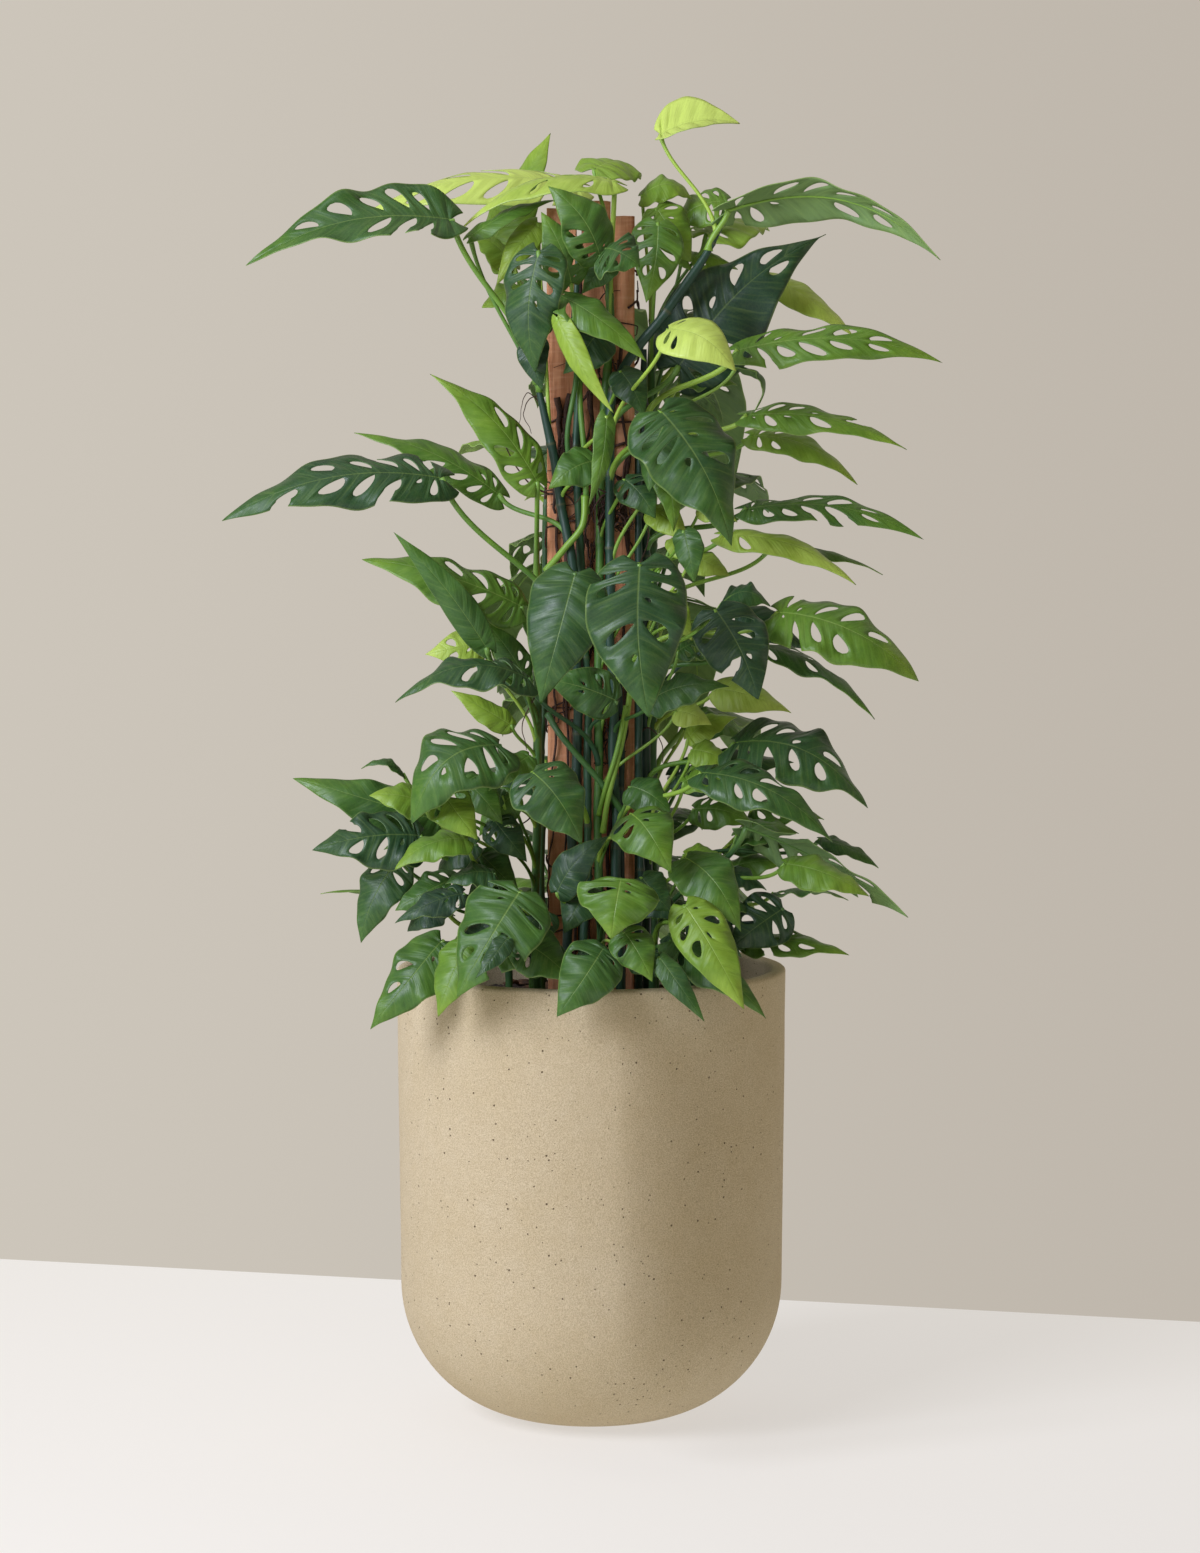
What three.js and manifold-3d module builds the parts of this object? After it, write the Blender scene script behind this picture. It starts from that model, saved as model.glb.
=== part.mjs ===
// Potted swiss cheese vine: a climbing aroid with pierced leaves, trained up three rough
// wooden stakes that stand in a round-bottomed cement pot.
// Millimetres, +Z up, the front towards -Y, the origin at the centre of the pot's foot.

import * as THREE from "three";
import { mergeVertices } from "three/addons/utils/BufferGeometryUtils.js";
import Module from "manifold-3d";

const wasm = await Module();
wasm.setup();

// Driving dimensions

const POT = {
  radius: 200, height: 465, heel: 140, taper: 3, wall: 15, floor: 22, lip: 5, sides: 30, bends: 6,
};
const SOIL = { level: 430, mound: 10, sides: 20, hole: 2.5 };
const GAP = 0.3;
const STAKE = { foot: 150, chamfer: 4, thickness: 20 };
const STEM = { foot: 350, sides: 5, stepLength: 120 };
const PETIOLE = {
  neck: 2, middle: 2.2, foot: 2.6, shortReach: 125, lean: 0.12, rise: 0.28, droop: 0.35, backward: -0.5,
};
const BLADE = { thickness: 1.2, lobe: 0.07, vein: 1.75, edge: 1.3, sweep: 1.6, fold: 0.28, wave: 0.035 };
const VEINS = [0, 0.2, 0.42, 0.66, 1];
const SMALL_LEAF_VEINS = [0, 0.3, 0.62, 1];
const HOLE = { inner: 0.24, outer: 0.8, share: 0.34, slant: 0.4 };

// Blades were placed as they are seen from an eye in front of the pot.
const EYE = { distance: 4000, height: 983 };

// Each stake's middle, its width, its top and how far its top leans sideways.
const STAKES = {
  stake_left: { x: -29, y: 4, width: 31, top: 1239, lean: -1 },
  stake_middle: { x: 4, y: 12, width: 30, top: 1247, lean: 1 },
  stake_right: { x: 33, y: 4, width: 23, top: 1231, lean: 0 },
};

// Leaves on the far side are placed by rule: they climb the stem at an even pitch, fan out
// about the way they face, and differ in reach, length and droop.
const FAR_LEAF = { climb: 70, length: 140, longer: 80, slimness: 0.46, arch: 0.12, rise: 60 };

// Each stem has its route and its leaves. A leaf's row holds, in this order:
// the height where its petiole leaves the stem; the blade's base as x, z and y; its tip as
// x, z and y; its width; which way its upper face looks, as a turn from the front to the
// right and a rise above the horizon, in degrees; how far its midrib arches, as a share of
// its length; the holes in each half; its age from 0, old and dark, to 1, new and pale; and
// how far its tip is twisted, in degrees. A row may end with how steeply its halves fall from
// the midrib, below 0 where they rise instead.
const STEMS = {
  stem_front_left: {
    radius: 5.5,
    route: [[-26, -36, 440], [-15, -30, 713], [-18, -36, 870], [-34, -30, 962], [-58, -33, 1068]],
    leaves: [
      [1061, -142, 1228, -60, -352, 1196, -100, 80, 0, 42, 0.08, 3, 0.15, 0, -0.24],
      [1003, -123, 1211, -42, -37, 1253, -15, 28, 0, 60, 0.08, 0, 0.5, 0],
      [1012, -54, 1225, -18, -97, 1162, -38, 32, 0, 20, 0.06, 0, 0.75, 0],
      [1053, -53, 1196, -102, -60, 1072, -94, 66, -20, 10, 0.06, 2, 0.25, 0],
      [795, -153, 966, -80, -378, 926, -110, 72, 0, 42, 0.12, 3, 0.2, 0],
      [905, -94, 949, -15, -238, 1021, -20, 48, 0, 40, 0.05, 2, 0.35, 40],
      [943, 7, 984, -75, -43, 957, -95, 48, 0, 25, 0.15, 0, 0.3, 0],
    ],
  },
  stem_front_middle: {
    radius: 4.5,
    route: [[-8, -44, 440], [-3, -28, 713], [-9, -22, 880], [-14, -23, 1000], [-16, -25, 1193]],
    leaves: [
      [1123, -20, 1163, -55, -49, 1235, -75, 50, 0, 20, 0.2, 1, 0.3, 0],
      [1105, -36, 1153, -85, 60, 1091, -110, 46, 0, 50, 0.1, 1, 0.35, 30],
      [1075, -34, 1129, -104, 18, 1031, -128, 27, -40, 20, 0.05, 0, 0.6, 0],
      [1047, 9, 1117, -62, -29, 1072, -64, 54, 0, 20, 0.1, 0, 0.2, 0],
      [973, 16, 1029, -110, -1, 936, -125, 24, 20, 10, 0.05, 0, 0.5, 0],
      [803, -16, 869, -160, -54, 735, -180, 82, -5, 20, 0.08, 0, 0.3, 0],
      [703, 26, 738, -80, -47, 761, -100, 52, 0, 10, 0.05, 2, 0.15, 0],
      [613, -60, 664, -192, -9, 590, -212, 74, 0, 40, 0.2, 1, 0.25, 0],
    ],
  },
  stem_front_right: {
    radius: 5,
    route: [[10, -36, 440], [8, -27, 713], [9, -19, 960], [18, -19, 1100], [20, -24, 1209]],
    leaves: [
      [1146, 24, 1266, -34, -138, 1226, -32, 58, 0, 68, 0.12, 2, 0.85, 0],
      [1163, 9, 1192, -70, -43, 1262, -80, 58, 0, 25, 0.15, 2, 0.38, 0],
      [1153, 16, 1199, -88, 50, 1183, -105, 62, 0, 35, 0.15, 2, 0.28, 0],
      [1107, 20, 1188, -40, -10, 1153, -44, 32, 0, 20, 0.1, 0, 0.25, 0],
      [1206, 3, 1279, -8, 51, 1271, 60, 66, 0, 60, 0.15, 0, 0.7, 0],
      [573, 42, 621, -165, 83, 560, -200, 66, 0, 35, 0.25, 1, 0.35, 0],
      [813, 50, 878, -190, 60, 720, -212, 104, 5, 15, 0.06, 3, 0.15, 0],
      [673, -65, 761, -115, -201, 745, -145, 66, 0, 60, 0.2, 2, 0.15, 0],
    ],
  },
  stem_leaning: {
    radius: 5.5,
    route: [
      [30, -44, 440], [23, -30, 713], [18, -33, 960], [23, -34, 1050], [42, -36, 1092], [76, -38, 1135],
      [113, -33, 1185], [132, -30, 1219],
    ],
    leaves: [
      [1195, 140, 1238, -35, 357, 1192, -60, 60, 0, 132, 0.17, 3, 0.4, 0],
      [1211, 70, 1314, -20, 151, 1326, -25, 80, 0, 60, 0.1, 0, 1, 0, -0.28],
      [1013, 89, 1079, -20, 239, 1216, 20, 112, 0, 15, 0.08, 3, 0.05, 0],
      [963, 71, 1034, -130, 148, 901, -160, 102, 10, 25, 0.12, 2, 0.3, 0],
      [963, 79, 1029, -70, 59, 952, -85, 58, -30, 10, 0.08, 0, 0.15, 0],
      [873, 71, 981, -55, 86, 912, -70, 30, 20, 10, 0.1, 0, 0.4, 0],
      [753, 128, 831, -105, 172, 739, -130, 74, 0, 25, 0.1, 3, 0.15, 0],
      [703, 61, 739, -95, 141, 754, -115, 48, 0, 40, 0.12, 0, 0.15, 0],
      [613, 114, 664, -112, 252, 602, -140, 62, 0, 50, 0.15, 2, 0.15, 0],
      [1003, 79, 1117, -125, 148, 1076, -150, 62, 0, 40, 0.18, 1, 0.95, 0],
    ],
  },
  stem_right: {
    radius: 5.5,
    route: [[58, -6, 440], [56, -4, 713], [54, -4, 1098]],
    leaves: [
      [1023, 150, 1096, -62, 359, 1098, -66, 58, 0, 52, 0.08, 3, 0.4, 50],
      [1003, 148, 1079, -32, 171, 1035, -42, 32, 90, 45, 0.4, 0, 0.4, 0],
      [993, 159, 1030, -20, 323, 998, -40, 46, 0, 48, 0.1, 3, 0.6, 0],
      [893, 159, 935, -30, 342, 917, -40, 48, 0, 60, 0.06, 3, 0.45, 45],
      [863, 135, 908, -50, 273, 862, -70, 46, 0, 60, 0.08, 1, 0.7, 0],
      [843, 95, 912, -82, 105, 859, -92, 32, -20, 10, 0.1, 0, 0.2, 0],
      [783, 192, 829, -60, 340, 768, -80, 84, 0, 50, 0.16, 3, 0.5, 0],
      [793, 135, 839, -62, 184, 836, -70, 46, 0, 50, 0.35, 0, 0.2, 0],
      [753, 164, 797, -52, 298, 732, -60, 44, 0, 68, 0.06, 2, 0.35, 0],
      [653, 148, 695, -60, 287, 636, -95, 104, 0, 50, 0.2, 3, 0.25, 0],
    ],
  },
  stem_back_right: {
    radius: 5,
    route: [[66, 24, 440], [64, 22, 773], [60, 22, 1133]],
    leaves: [
      [1069, 117, 1214, 25, 182, 1225, 95, 76, 0, 70, 0.1, 1, 0.7, 0],
      [1103, 138, 1247, 15, 79, 1220, 25, 52, 0, 40, 0.12, 1, 0.45, 0],
      [1125, 52, 1253, 14, 103, 1249, 18, 44, 0, 50, 0.3, 0, 0.5, 0],
      [1064, 66, 1240, -5, 102, 1186, -12, 50, 0, 20, 0.1, 1, 0.5, 0],
      [1085, 68, 1225, -34, 56, 1144, -47, 56, 0, 10, 0.06, 2, 0.4, 0],
      [1037, 179, 1170, 45, 269, 1113, 40, 44, 0, 50, 0.1, 0, 0.85, 0],
      [963, 164, 1010, 15, 275, 966, 10, 42, 0, 50, 0.1, 1, 0.5, 0],
      [823, 184, 897, 30, 300, 875, 25, 32, 0, 75, 0.05, 0, 0.3, 0],
      [733, 156, 831, 5, 222, 792, -5, 44, 0, 40, 0.1, 0, 0.15, 0],
      [703, 128, 751, -20, 206, 731, -35, 48, 0, 40, 0.12, 0, 0.75, 0],
      [623, 86, 660, 2, 208, 681, 10, 52, 0, 40, 0.1, 1, 0.15, 0],
      [573, 106, 627, -10, 169, 612, -20, 46, 0, 40, 0.1, 1, 0.45, 0],
      [490, 160, 608, -50, 331, 522, -80, 56, 0, 130, 0.06, 3, 0.35, 0],
    ],
    behind: { count: 5, lowest: 600, pitch: 122, facing: 22, fan: 12, reach: 96, drop: 0.42, uneven: 0.9 },
  },
  stem_left: {
    radius: 5,
    route: [[-60, 4, 440], [-56, 4, 713], [-54, 0, 913]],
    leaves: [
      [863, -55, 962, -60, -160, 1076, -64, 56, 0, 40, 0.06, 2, 0.4, 0],
      [773, -72, 835, -70, -230, 893, -88, 68, 0, 45, 0.1, 2, 0.35, 0],
      [713, -107, 792, -102, -202, 910, -118, 34, -20, 20, 0.05, 0, 0.2, 0],
      [688, -112, 797, -35, -170, 787, -45, 46, 0, 20, 0.1, 2, 0.7, 0],
      [693, -68, 763, -50, -109, 821, -60, 34, 0, 20, 0.05, 1, 0.25, 0],
      [673, -82, 713, -20, -142, 751, -25, 32, 0, 40, 0.05, 0, 0.6, 0],
      [633, -94, 692, -145, -187, 616, -180, 92, 0, 45, 0.28, 2, 0.2, 0],
      [613, -63, 681, -118, -106, 647, -138, 36, 0, 40, 0.15, 0, 0.45, 0],
      [603, -130, 656, -90, -91, 612, -105, 40, 0, 20, 0.1, 1, 0.25, 0],
    ],
  },
  stem_back_left: {
    radius: 5.5,
    route: [[-36, 44, 440], [-34, 42, 813], [-30, 40, 1163]],
    leaves: [
      [1133, -15, 1264, 62, -246, 1240, 30, 84, 0, 58, 0.1, 3, 0.9, 0],
      [1123, -102, 1202, 108, -46, 1319, 112, 55, -30, 10, 0.05, 0, 0.45, 0],
    ],
    behind: { count: 4, lowest: 640, pitch: 118, facing: -14, fan: 12, reach: 92, drop: 0.42, uneven: 0.9 },
  },
  stem_back_middle: {
    radius: 5.5,
    route: [[2, 48, 440], [0, 44, 813], [4, 42, 1183]],
    leaves: [],
    behind: { count: 5, lowest: 690, pitch: 116, facing: 4, fan: 14, reach: 100, drop: 0.42, uneven: 0.9 },
  },
  shoot_back: {
    radius: 4.5,
    route: [[8, 112, 440], [10, 118, 545]],
    leaves: [],
    behind: { count: 5, lowest: 520, pitch: 14, facing: 0, fan: 78, reach: 70, drop: 0.46, uneven: 0.2 },
  },
  shoot_left: {
    radius: 4.5,
    route: [[-84, -24, 440], [-88, -28, 585]],
    leaves: [
      [539, -176, 599, -105, -287, 584, -130, 74, 0, 35, 0.1, 2, 0.2, 0],
      [561, -172, 633, -125, -227, 642, -140, 42, 0, 40, 0.15, 0, 0.6, 0],
      [579, -156, 648, -150, -116, 594, -170, 50, 0, 30, 0.15, 1, 0.6, 0],
      [519, -129, 596, -140, -203, 566, -155, 46, 0, 60, 0.12, 0, 0.4, 0],
      [503, -197, 576, -95, -241, 490, -110, 52, -20, 20, 0.08, 1, 0.3, 0],
      [489, -140, 555, -120, -202, 522, -135, 46, 0, 40, 0.1, 1, 0.2, 0],
      [571, -193, 663, -95, -236, 669, -105, 18, 0, 60, 0.3, 0, 0.3, 0],
      [549, -156, 614, -60, -304, 663, -80, 56, 0, 30, 0.08, 0, 0.4, 0],
      [475, -149, 522, -50, -277, 548, -75, 32, 0, 100, 0.06, 0, 0.45, 0],
    ],
  },
  shoot_front_left: {
    radius: 4.5,
    route: [[-54, -84, 440], [-58, -92, 513]],
    leaves: [
      [507, -73, 541, -200, -139, 432, -232, 90, -5, 30, 0.12, 3, 0.3, 0],
      [488, -128, 487, -195, -160, 412, -215, 50, -20, 20, 0.08, 0, 0.5, 0],
      [495, -73, 490, -186, -19, 450, -198, 56, 0, 40, 0.12, 1, 0.3, 0],
      [493, -154, 490, -150, -229, 399, -172, 64, 0, 40, 0.12, 2, 0.42, 0],
      [498, -132, 539, -165, -203, 512, -180, 38, 0, 45, 0.12, 1, 0.05, 0],
      [465, -86, 492, -236, -119, 450, -256, 24, 0, 30, 0.1, 0, 0.2, 0],
    ],
  },
  shoot_front: {
    radius: 4.5,
    route: [[8, -96, 440], [10, -100, 525]],
    leaves: [
      [501, 31, 554, -205, 21, 493, -238, 84, 0, 35, 0.15, 1, 0.45, 0],
      [473, 13, 482, -212, -35, 411, -240, 62, 0, 20, 0.15, 1, 0.35, 0],
      [487, 34, 499, -210, 64, 448, -226, 46, 0, 30, 0.1, 1, 0.45, 0],
      [517, -35, 540, -150, 16, 599, -160, 40, -10, 20, 0.1, 0, 0.1, 0],
    ],
  },
  shoot_front_right: {
    radius: 4.5,
    route: [[62, -80, 440], [64, -84, 553]],
    leaves: [
      [538, 97, 576, -150, 155, 500, -190, 62, 0, 35, 0.2, 0, 0.35, 0],
      [498, 97, 526, -200, 159, 420, -232, 56, 0, 20, 0.08, 2, 0.6, 0],
      [483, 83, 490, -165, 184, 414, -190, 52, 0, 50, 0.12, 1, 0.35, 0],
      [475, 71, 472, -212, 118, 406, -232, 26, 0, 30, 0.1, 0, 0.25, 0],
    ],
  },
  shoot_right: {
    radius: 4.5,
    route: [[104, -20, 440], [108, -24, 579]],
    leaves: [
      [541, 200, 570, -95, 288, 542, -110, 48, 0, 50, 0.12, 0, 0.5, 0],
      [527, 141, 566, -8, 205, 574, -10, 34, 0, 50, 0.1, 0, 0.35, 0],
      [493, 198, 524, -60, 142, 482, -75, 62, 0, 10, 0.08, 2, 0.1, 0],
      [513, 188, 540, -10, 265, 540, -20, 36, 0, 90, 0.08, 1, 0.3, 0],
      [478, 160, 490, -35, 266, 480, -60, 46, 0, 60, 0.1, 2, 0.45, 0],
      [569, 236, 596, -20, 298, 571, -30, 26, 0, 60, 0.1, 0, 0.3, 0],
      [509, 139, 586, -4, 211, 591, -8, 26, 0, 60, 0.08, 0, 0.2, 0],
    ],
  },
};

// A point seen at x, z in the upright plane through the pot's axis, moved along the line of
// sight until it is y behind that plane.
function seenAt(x, z, y) {
  const nearer = (EYE.distance + y) / EYE.distance;
  return new THREE.Vector3(x * nearer, y, EYE.height + (z - EYE.height) * nearer);
}

// A leaf's measures with its own directions: along the blade, across it and off its face.
function frameLeaf(leaf, tip, turn, rise) {
  const along = tip.clone().sub(leaf.base);
  const length = along.length();
  along.normalize();
  const t = THREE.MathUtils.degToRad(turn);
  const r = THREE.MathUtils.degToRad(rise);
  const looks = new THREE.Vector3(Math.sin(t) * Math.cos(r), -Math.cos(t) * Math.cos(r), Math.sin(r));
  const up = looks.addScaledVector(along, -looks.dot(along)).normalize();
  const side = new THREE.Vector3().crossVectors(up, along);
  return { ...leaf, length, along, up, side };
}

function leafFromRow(row) {
  const [leavesStemAt, bx, bz, by, tx, tz, ty, width, turn, rise, arch, holes, age, twist, fold] = row;
  const leaf = { leavesStemAt, base: seenAt(bx, bz, by), width, arch, holes, age, twist, fold };
  return frameLeaf(leaf, seenAt(tx, tz, ty), turn, rise);
}

function leafBehind(stem, index) {
  const { lowest, pitch, facing, fan, reach, drop, uneven } = stem.behind;
  const spread = (step) => (index * step) % 1;
  const bearing = facing + fan * (2 * spread(0.618) - 1);
  const height = lowest + index * pitch;
  const fall = drop + uneven * (spread(0.414) - 0.5);
  const length = FAR_LEAF.length + FAR_LEAF.longer * spread(0.732);
  const angle = THREE.MathUtils.degToRad(bearing);
  const away = new THREE.Vector3(Math.sin(angle), Math.cos(angle), 0);
  const [x, y] = stem.route[1];
  const base = new THREE.Vector3(x, y, height).addScaledVector(away, reach * (0.6 + 0.7 * spread(0.549)));
  const tip = base.clone().addScaledVector(away, length * Math.sqrt(1 - fall * fall));
  tip.z -= length * fall;
  const leaf = {
    leavesStemAt: Math.max(height - FAR_LEAF.climb, stem.route[0][2] + 20),
    base,
    width: length * FAR_LEAF.slimness,
    arch: FAR_LEAF.arch,
    holes: index % 3 === 1 ? 1 : 0,
    age: 0.15 + 0.5 * spread(0.381),
    twist: 0,
  };
  return frameLeaf(leaf, tip, 180 - bearing + 40 * (spread(0.467) - 0.5), FAR_LEAF.rise);
}

// Half the blade's width at vein u, as a share of its widest place.
function halfWidth(u) {
  return Math.sin(Math.PI * (0.05 + 0.95 * u) ** 0.72) * (1 - 0.35 * u ** 6);
}

// The veins that a blade's facets follow: plain narrow blades need fewer.
function veinsOf(leaf) {
  return leaf.holes || leaf.width > 70 ? VEINS : SMALL_LEAF_VEINS;
}

// Three holes start in the first bay between veins, fewer in the next one.
function isPierced(leaf, bay) {
  const first = leaf.holes > 2 ? 0 : 1;
  return bay >= first && bay < first + leaf.holes;
}

// A point on the blade's middle surface. Vein u, from 0 at the petiole to 1 at the tip,
// leaves the midrib at v = 0 and sweeps forward to the margin at v = 1 or -1.
function onBlade(leaf, u, v, lift) {
  const out = Math.abs(v);
  const onMidrib = u ** BLADE.vein;
  const onMargin = (1 + BLADE.lobe) * u ** BLADE.edge - BLADE.lobe;
  const a = onMidrib + (onMargin - onMidrib) * out ** BLADE.sweep;
  const across = v * halfWidth(u) * leaf.width * 0.5;
  const drop = (leaf.fold ?? BLADE.fold) * Math.abs(across) * out ** 0.5;
  const wave = BLADE.wave * leaf.width * v * v * Math.sin(17 * a + 2.1 * Math.sign(v) + leaf.length);
  const twist = THREE.MathUtils.degToRad(leaf.twist) * a * a;
  const rise = 4 * leaf.arch * leaf.length * a * (1 - a);
  const sideways = across * Math.cos(twist) - (wave - drop + lift) * Math.sin(twist);
  const upwards = across * Math.sin(twist) + (wave - drop + lift) * Math.cos(twist);
  return leaf.base.clone()
    .addScaledVector(leaf.along, a * leaf.length)
    .addScaledVector(leaf.side, sideways)
    .addScaledVector(leaf.up, rise + upwards);
}

// A closed mesh as a solid that can be joined and cut.
function solidOf(geometry) {
  const bare = geometry.index ? geometry.toNonIndexed() : geometry.clone();
  bare.deleteAttribute("normal");
  bare.deleteAttribute("uv");
  const merged = mergeVertices(bare, 1e-3);
  return new wasm.Manifold(
    new wasm.Mesh({
      numProp: 3,
      vertProperties: new Float32Array(merged.attributes.position.array),
      triVerts: new Uint32Array(merged.index.array),
    }),
  );
}

function geometryOf(solid) {
  const mesh = solid.getMesh();
  const positions = new Float32Array(mesh.numVert * 3);
  for (let i = 0; i < mesh.numVert; i++) {
    positions.set(mesh.vertProperties.subarray(i * mesh.numProp, i * mesh.numProp + 3), i * 3);
  }
  return new THREE.BufferGeometry()
    .setAttribute("position", new THREE.BufferAttribute(positions, 3))
    .setIndex(new THREE.BufferAttribute(mesh.triVerts, 1));
}

function polygonShape(radius, sides) {
  const points = Array.from({ length: sides }, (_, i) => {
    const angle = (2 * Math.PI * i) / sides;
    return new THREE.Vector2(radius * Math.cos(angle), radius * Math.sin(angle));
  });
  return new THREE.Shape(points);
}

function rod(curve, radius, sides, steps) {
  return new THREE.ExtrudeGeometry(polygonShape(radius, sides), { steps, extrudePath: curve });
}

// Petiole: rings of four points from the blade's knee down to the middle of the stem.
function petioleRings(leaf, onStem) {
  const reach = leaf.base.clone().sub(onStem);
  const distance = reach.length();
  const arrive = reach.clone().normalize().add(new THREE.Vector3(0, 0, 1)).normalize();
  const curve = new THREE.CubicBezierCurve3(
    leaf.base,
    leaf.base.clone().addScaledVector(arrive, -PETIOLE.droop * distance),
    onStem.clone().addScaledVector(reach, PETIOLE.lean)
      .add(new THREE.Vector3(0, 0, distance * PETIOLE.rise)),
    onStem,
  );
  const side = leaf.side.clone();
  const steps = distance < PETIOLE.shortReach ? 2 : 3;
  return Array.from({ length: steps }, (_, i) => {
    const t = (i + 1) / steps;
    const middle = curve.getPoint(t);
    const back = curve.getTangent(t);
    side.addScaledVector(back, -side.dot(back)).normalize();
    const up = new THREE.Vector3().crossVectors(side, back);
    const reachOut = THREE.MathUtils.lerp(PETIOLE.middle, PETIOLE.foot, t);
    return [[1, 1], [-1, 1], [-1, -1], [1, -1]].map(([s, u]) =>
      middle.clone().addScaledVector(side, s * reachOut).addScaledVector(up, u * reachOut));
  });
}

// Leaf: one skin round a thin plate of cells between side veins, each whole or pierced by a
// lozenge hole, and round the petiole. The petiole leaves the end of the base where it runs
// backwards, and otherwise leaves the face that is turned to it.
function leafGeometry(leaf, onStem) {
  const veins = veinsOf(leaf);
  const last = veins.length - 1;
  const neck = Math.min(0.5, PETIOLE.neck / (halfWidth(0) * leaf.width * 0.5));
  const points = new Map();
  const corners = [];

  // The same point on the upper face and on the lower one.
  const pair = (u, v) => {
    const key = u === 1 ? "tip" : u.toFixed(4) + (v === 0 ? "m" : v.toFixed(4));
    if (!points.has(key)) {
      points.set(key, [onBlade(leaf, u, v, BLADE.thickness / 2), onBlade(leaf, u, v, -BLADE.thickness / 2)]);
    }
    return points.get(key);
  };
  const face = (a, b, c) => corners.push(a[0], b[0], c[0], a[1], c[1], b[1]);
  const wall = (a, b) => corners.push(a[0], a[1], b[0], b[0], a[1], b[1]);

  for (const half of [1, -1]) {
    const turned = (loop) => (half > 0 ? loop : [...loop].reverse());
    const fill = (a, b, c) => face(...turned([a, b, c]));
    const edge = (a, b) => wall(...turned([a, b]));
    const onNeck = pair(0, half * neck);
    for (let k = 0; k < last; k++) {
      const a = k === 0 ? onNeck : pair(veins[k], 0);
      const b = pair(veins[k + 1], 0);
      const c = pair(veins[k + 1], half);
      const d = pair(veins[k], half);
      if (k === last - 1) {
        fill(a, b, d);
      } else if (isPierced(leaf, k)) {
        const middle = (veins[k] + veins[k + 1]) / 2;
        const reach = (veins[k + 1] - veins[k]) * HOLE.share;
        const centre = half * (HOLE.inner + HOLE.outer) * 0.5;
        const p = pair(middle - reach * HOLE.slant, half * HOLE.inner);
        const q = pair(middle + reach, centre);
        const r = pair(middle + reach * HOLE.slant, half * HOLE.outer);
        const s = pair(middle - reach, centre);
        [[a, b, p], [b, q, p], [b, c, q], [c, r, q], [c, d, r], [d, s, r], [d, a, s], [a, p, s]]
          .forEach((triangle) => fill(...triangle));
        [[q, p], [r, q], [s, r], [p, s]].forEach((side) => edge(...side));
      } else {
        fill(a, b, c);
        fill(a, c, d);
      }
      edge(k === last - 1 ? b : c, d);
    }
    edge(pair(0, half), onNeck);
  }

  const left = pair(0, neck);
  const right = pair(0, -neck);
  const front = pair(veins[1], 0);
  const stalk = petioleRings(leaf, onStem);
  const away = stalk[0][0].clone().lerp(stalk[0][2], 0.5).sub(leaf.base).normalize();
  let knee;
  if (away.dot(leaf.along) < PETIOLE.backward) {
    face(right, front, left);
    knee = [left[0], right[0], right[1], left[1]];
  } else if (away.dot(leaf.up) < 0) {
    wall(left, right);
    corners.push(right[0], front[0], left[0]);
    knee = [left[1], right[1], front[1], front[1]];
  } else {
    wall(left, right);
    corners.push(right[1], left[1], front[1]);
    knee = [front[0], front[0], right[0], left[0]];
  }
  const rings = [knee, ...stalk];
  for (let i = 1; i < rings.length; i++) {
    const [near, far] = [rings[i - 1], rings[i]];
    for (let j = 0; j < 4; j++) {
      const next = (j + 1) % 4;
      corners.push(near[j], far[j], far[next]);
      if (near[j] !== near[next]) corners.push(near[j], far[next], near[next]);
    }
  }
  const end = rings.at(-1);
  corners.push(end[3], end[2], end[1], end[3], end[1], end[0]);
  return new THREE.BufferGeometry().setFromPoints(corners);
}

// Where a stem's centre line crosses the height z.
function stemAt(curve, z) {
  let low = 0;
  let high = 1;
  while (high - low > 1e-4) {
    const middle = (low + high) / 2;
    if (curve.getPoint(middle).z < z) low = middle;
    else high = middle;
  }
  return curve.getPoint(low);
}

function stemCurve(stem) {
  const [x, y] = stem.route[0];
  const points = [[x, y, STEM.foot], ...stem.route].map((p) => new THREE.Vector3(...p));
  return new THREE.CatmullRomCurve3(points, false, "centripetal");
}

function leavesOf(stem) {
  const behind = Array.from({ length: stem.behind?.count ?? 0 }, (_, i) => leafBehind(stem, i));
  return [...stem.leaves.map(leafFromRow), ...behind];
}

function leafyStem(stem) {
  const curve = stemCurve(stem);
  const steps = Math.ceil(curve.getLength() / STEM.stepLength);
  const pieces = [solidOf(rod(curve, stem.radius, STEM.sides, steps))];
  for (const leaf of leavesOf(stem)) {
    pieces.push(solidOf(leafGeometry(leaf, stemAt(curve, leaf.leavesStemAt))));
  }
  return geometryOf(wasm.Manifold.union(pieces));
}

// Pot: a cylinder on a round heel, open at the top.
function potOutline(inset) {
  const { radius, height, heel, taper } = POT;
  const bend = heel - inset;
  const middle = radius - taper - heel;
  const points = [];
  for (let i = 0; i <= POT.bends; i++) {
    const angle = (Math.PI / 2) * (i / POT.bends);
    points.push(new THREE.Vector2(middle + bend * Math.sin(angle), heel - bend * Math.cos(angle)));
  }
  points.push(new THREE.Vector2(radius - inset, height));
  return points;
}

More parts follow.
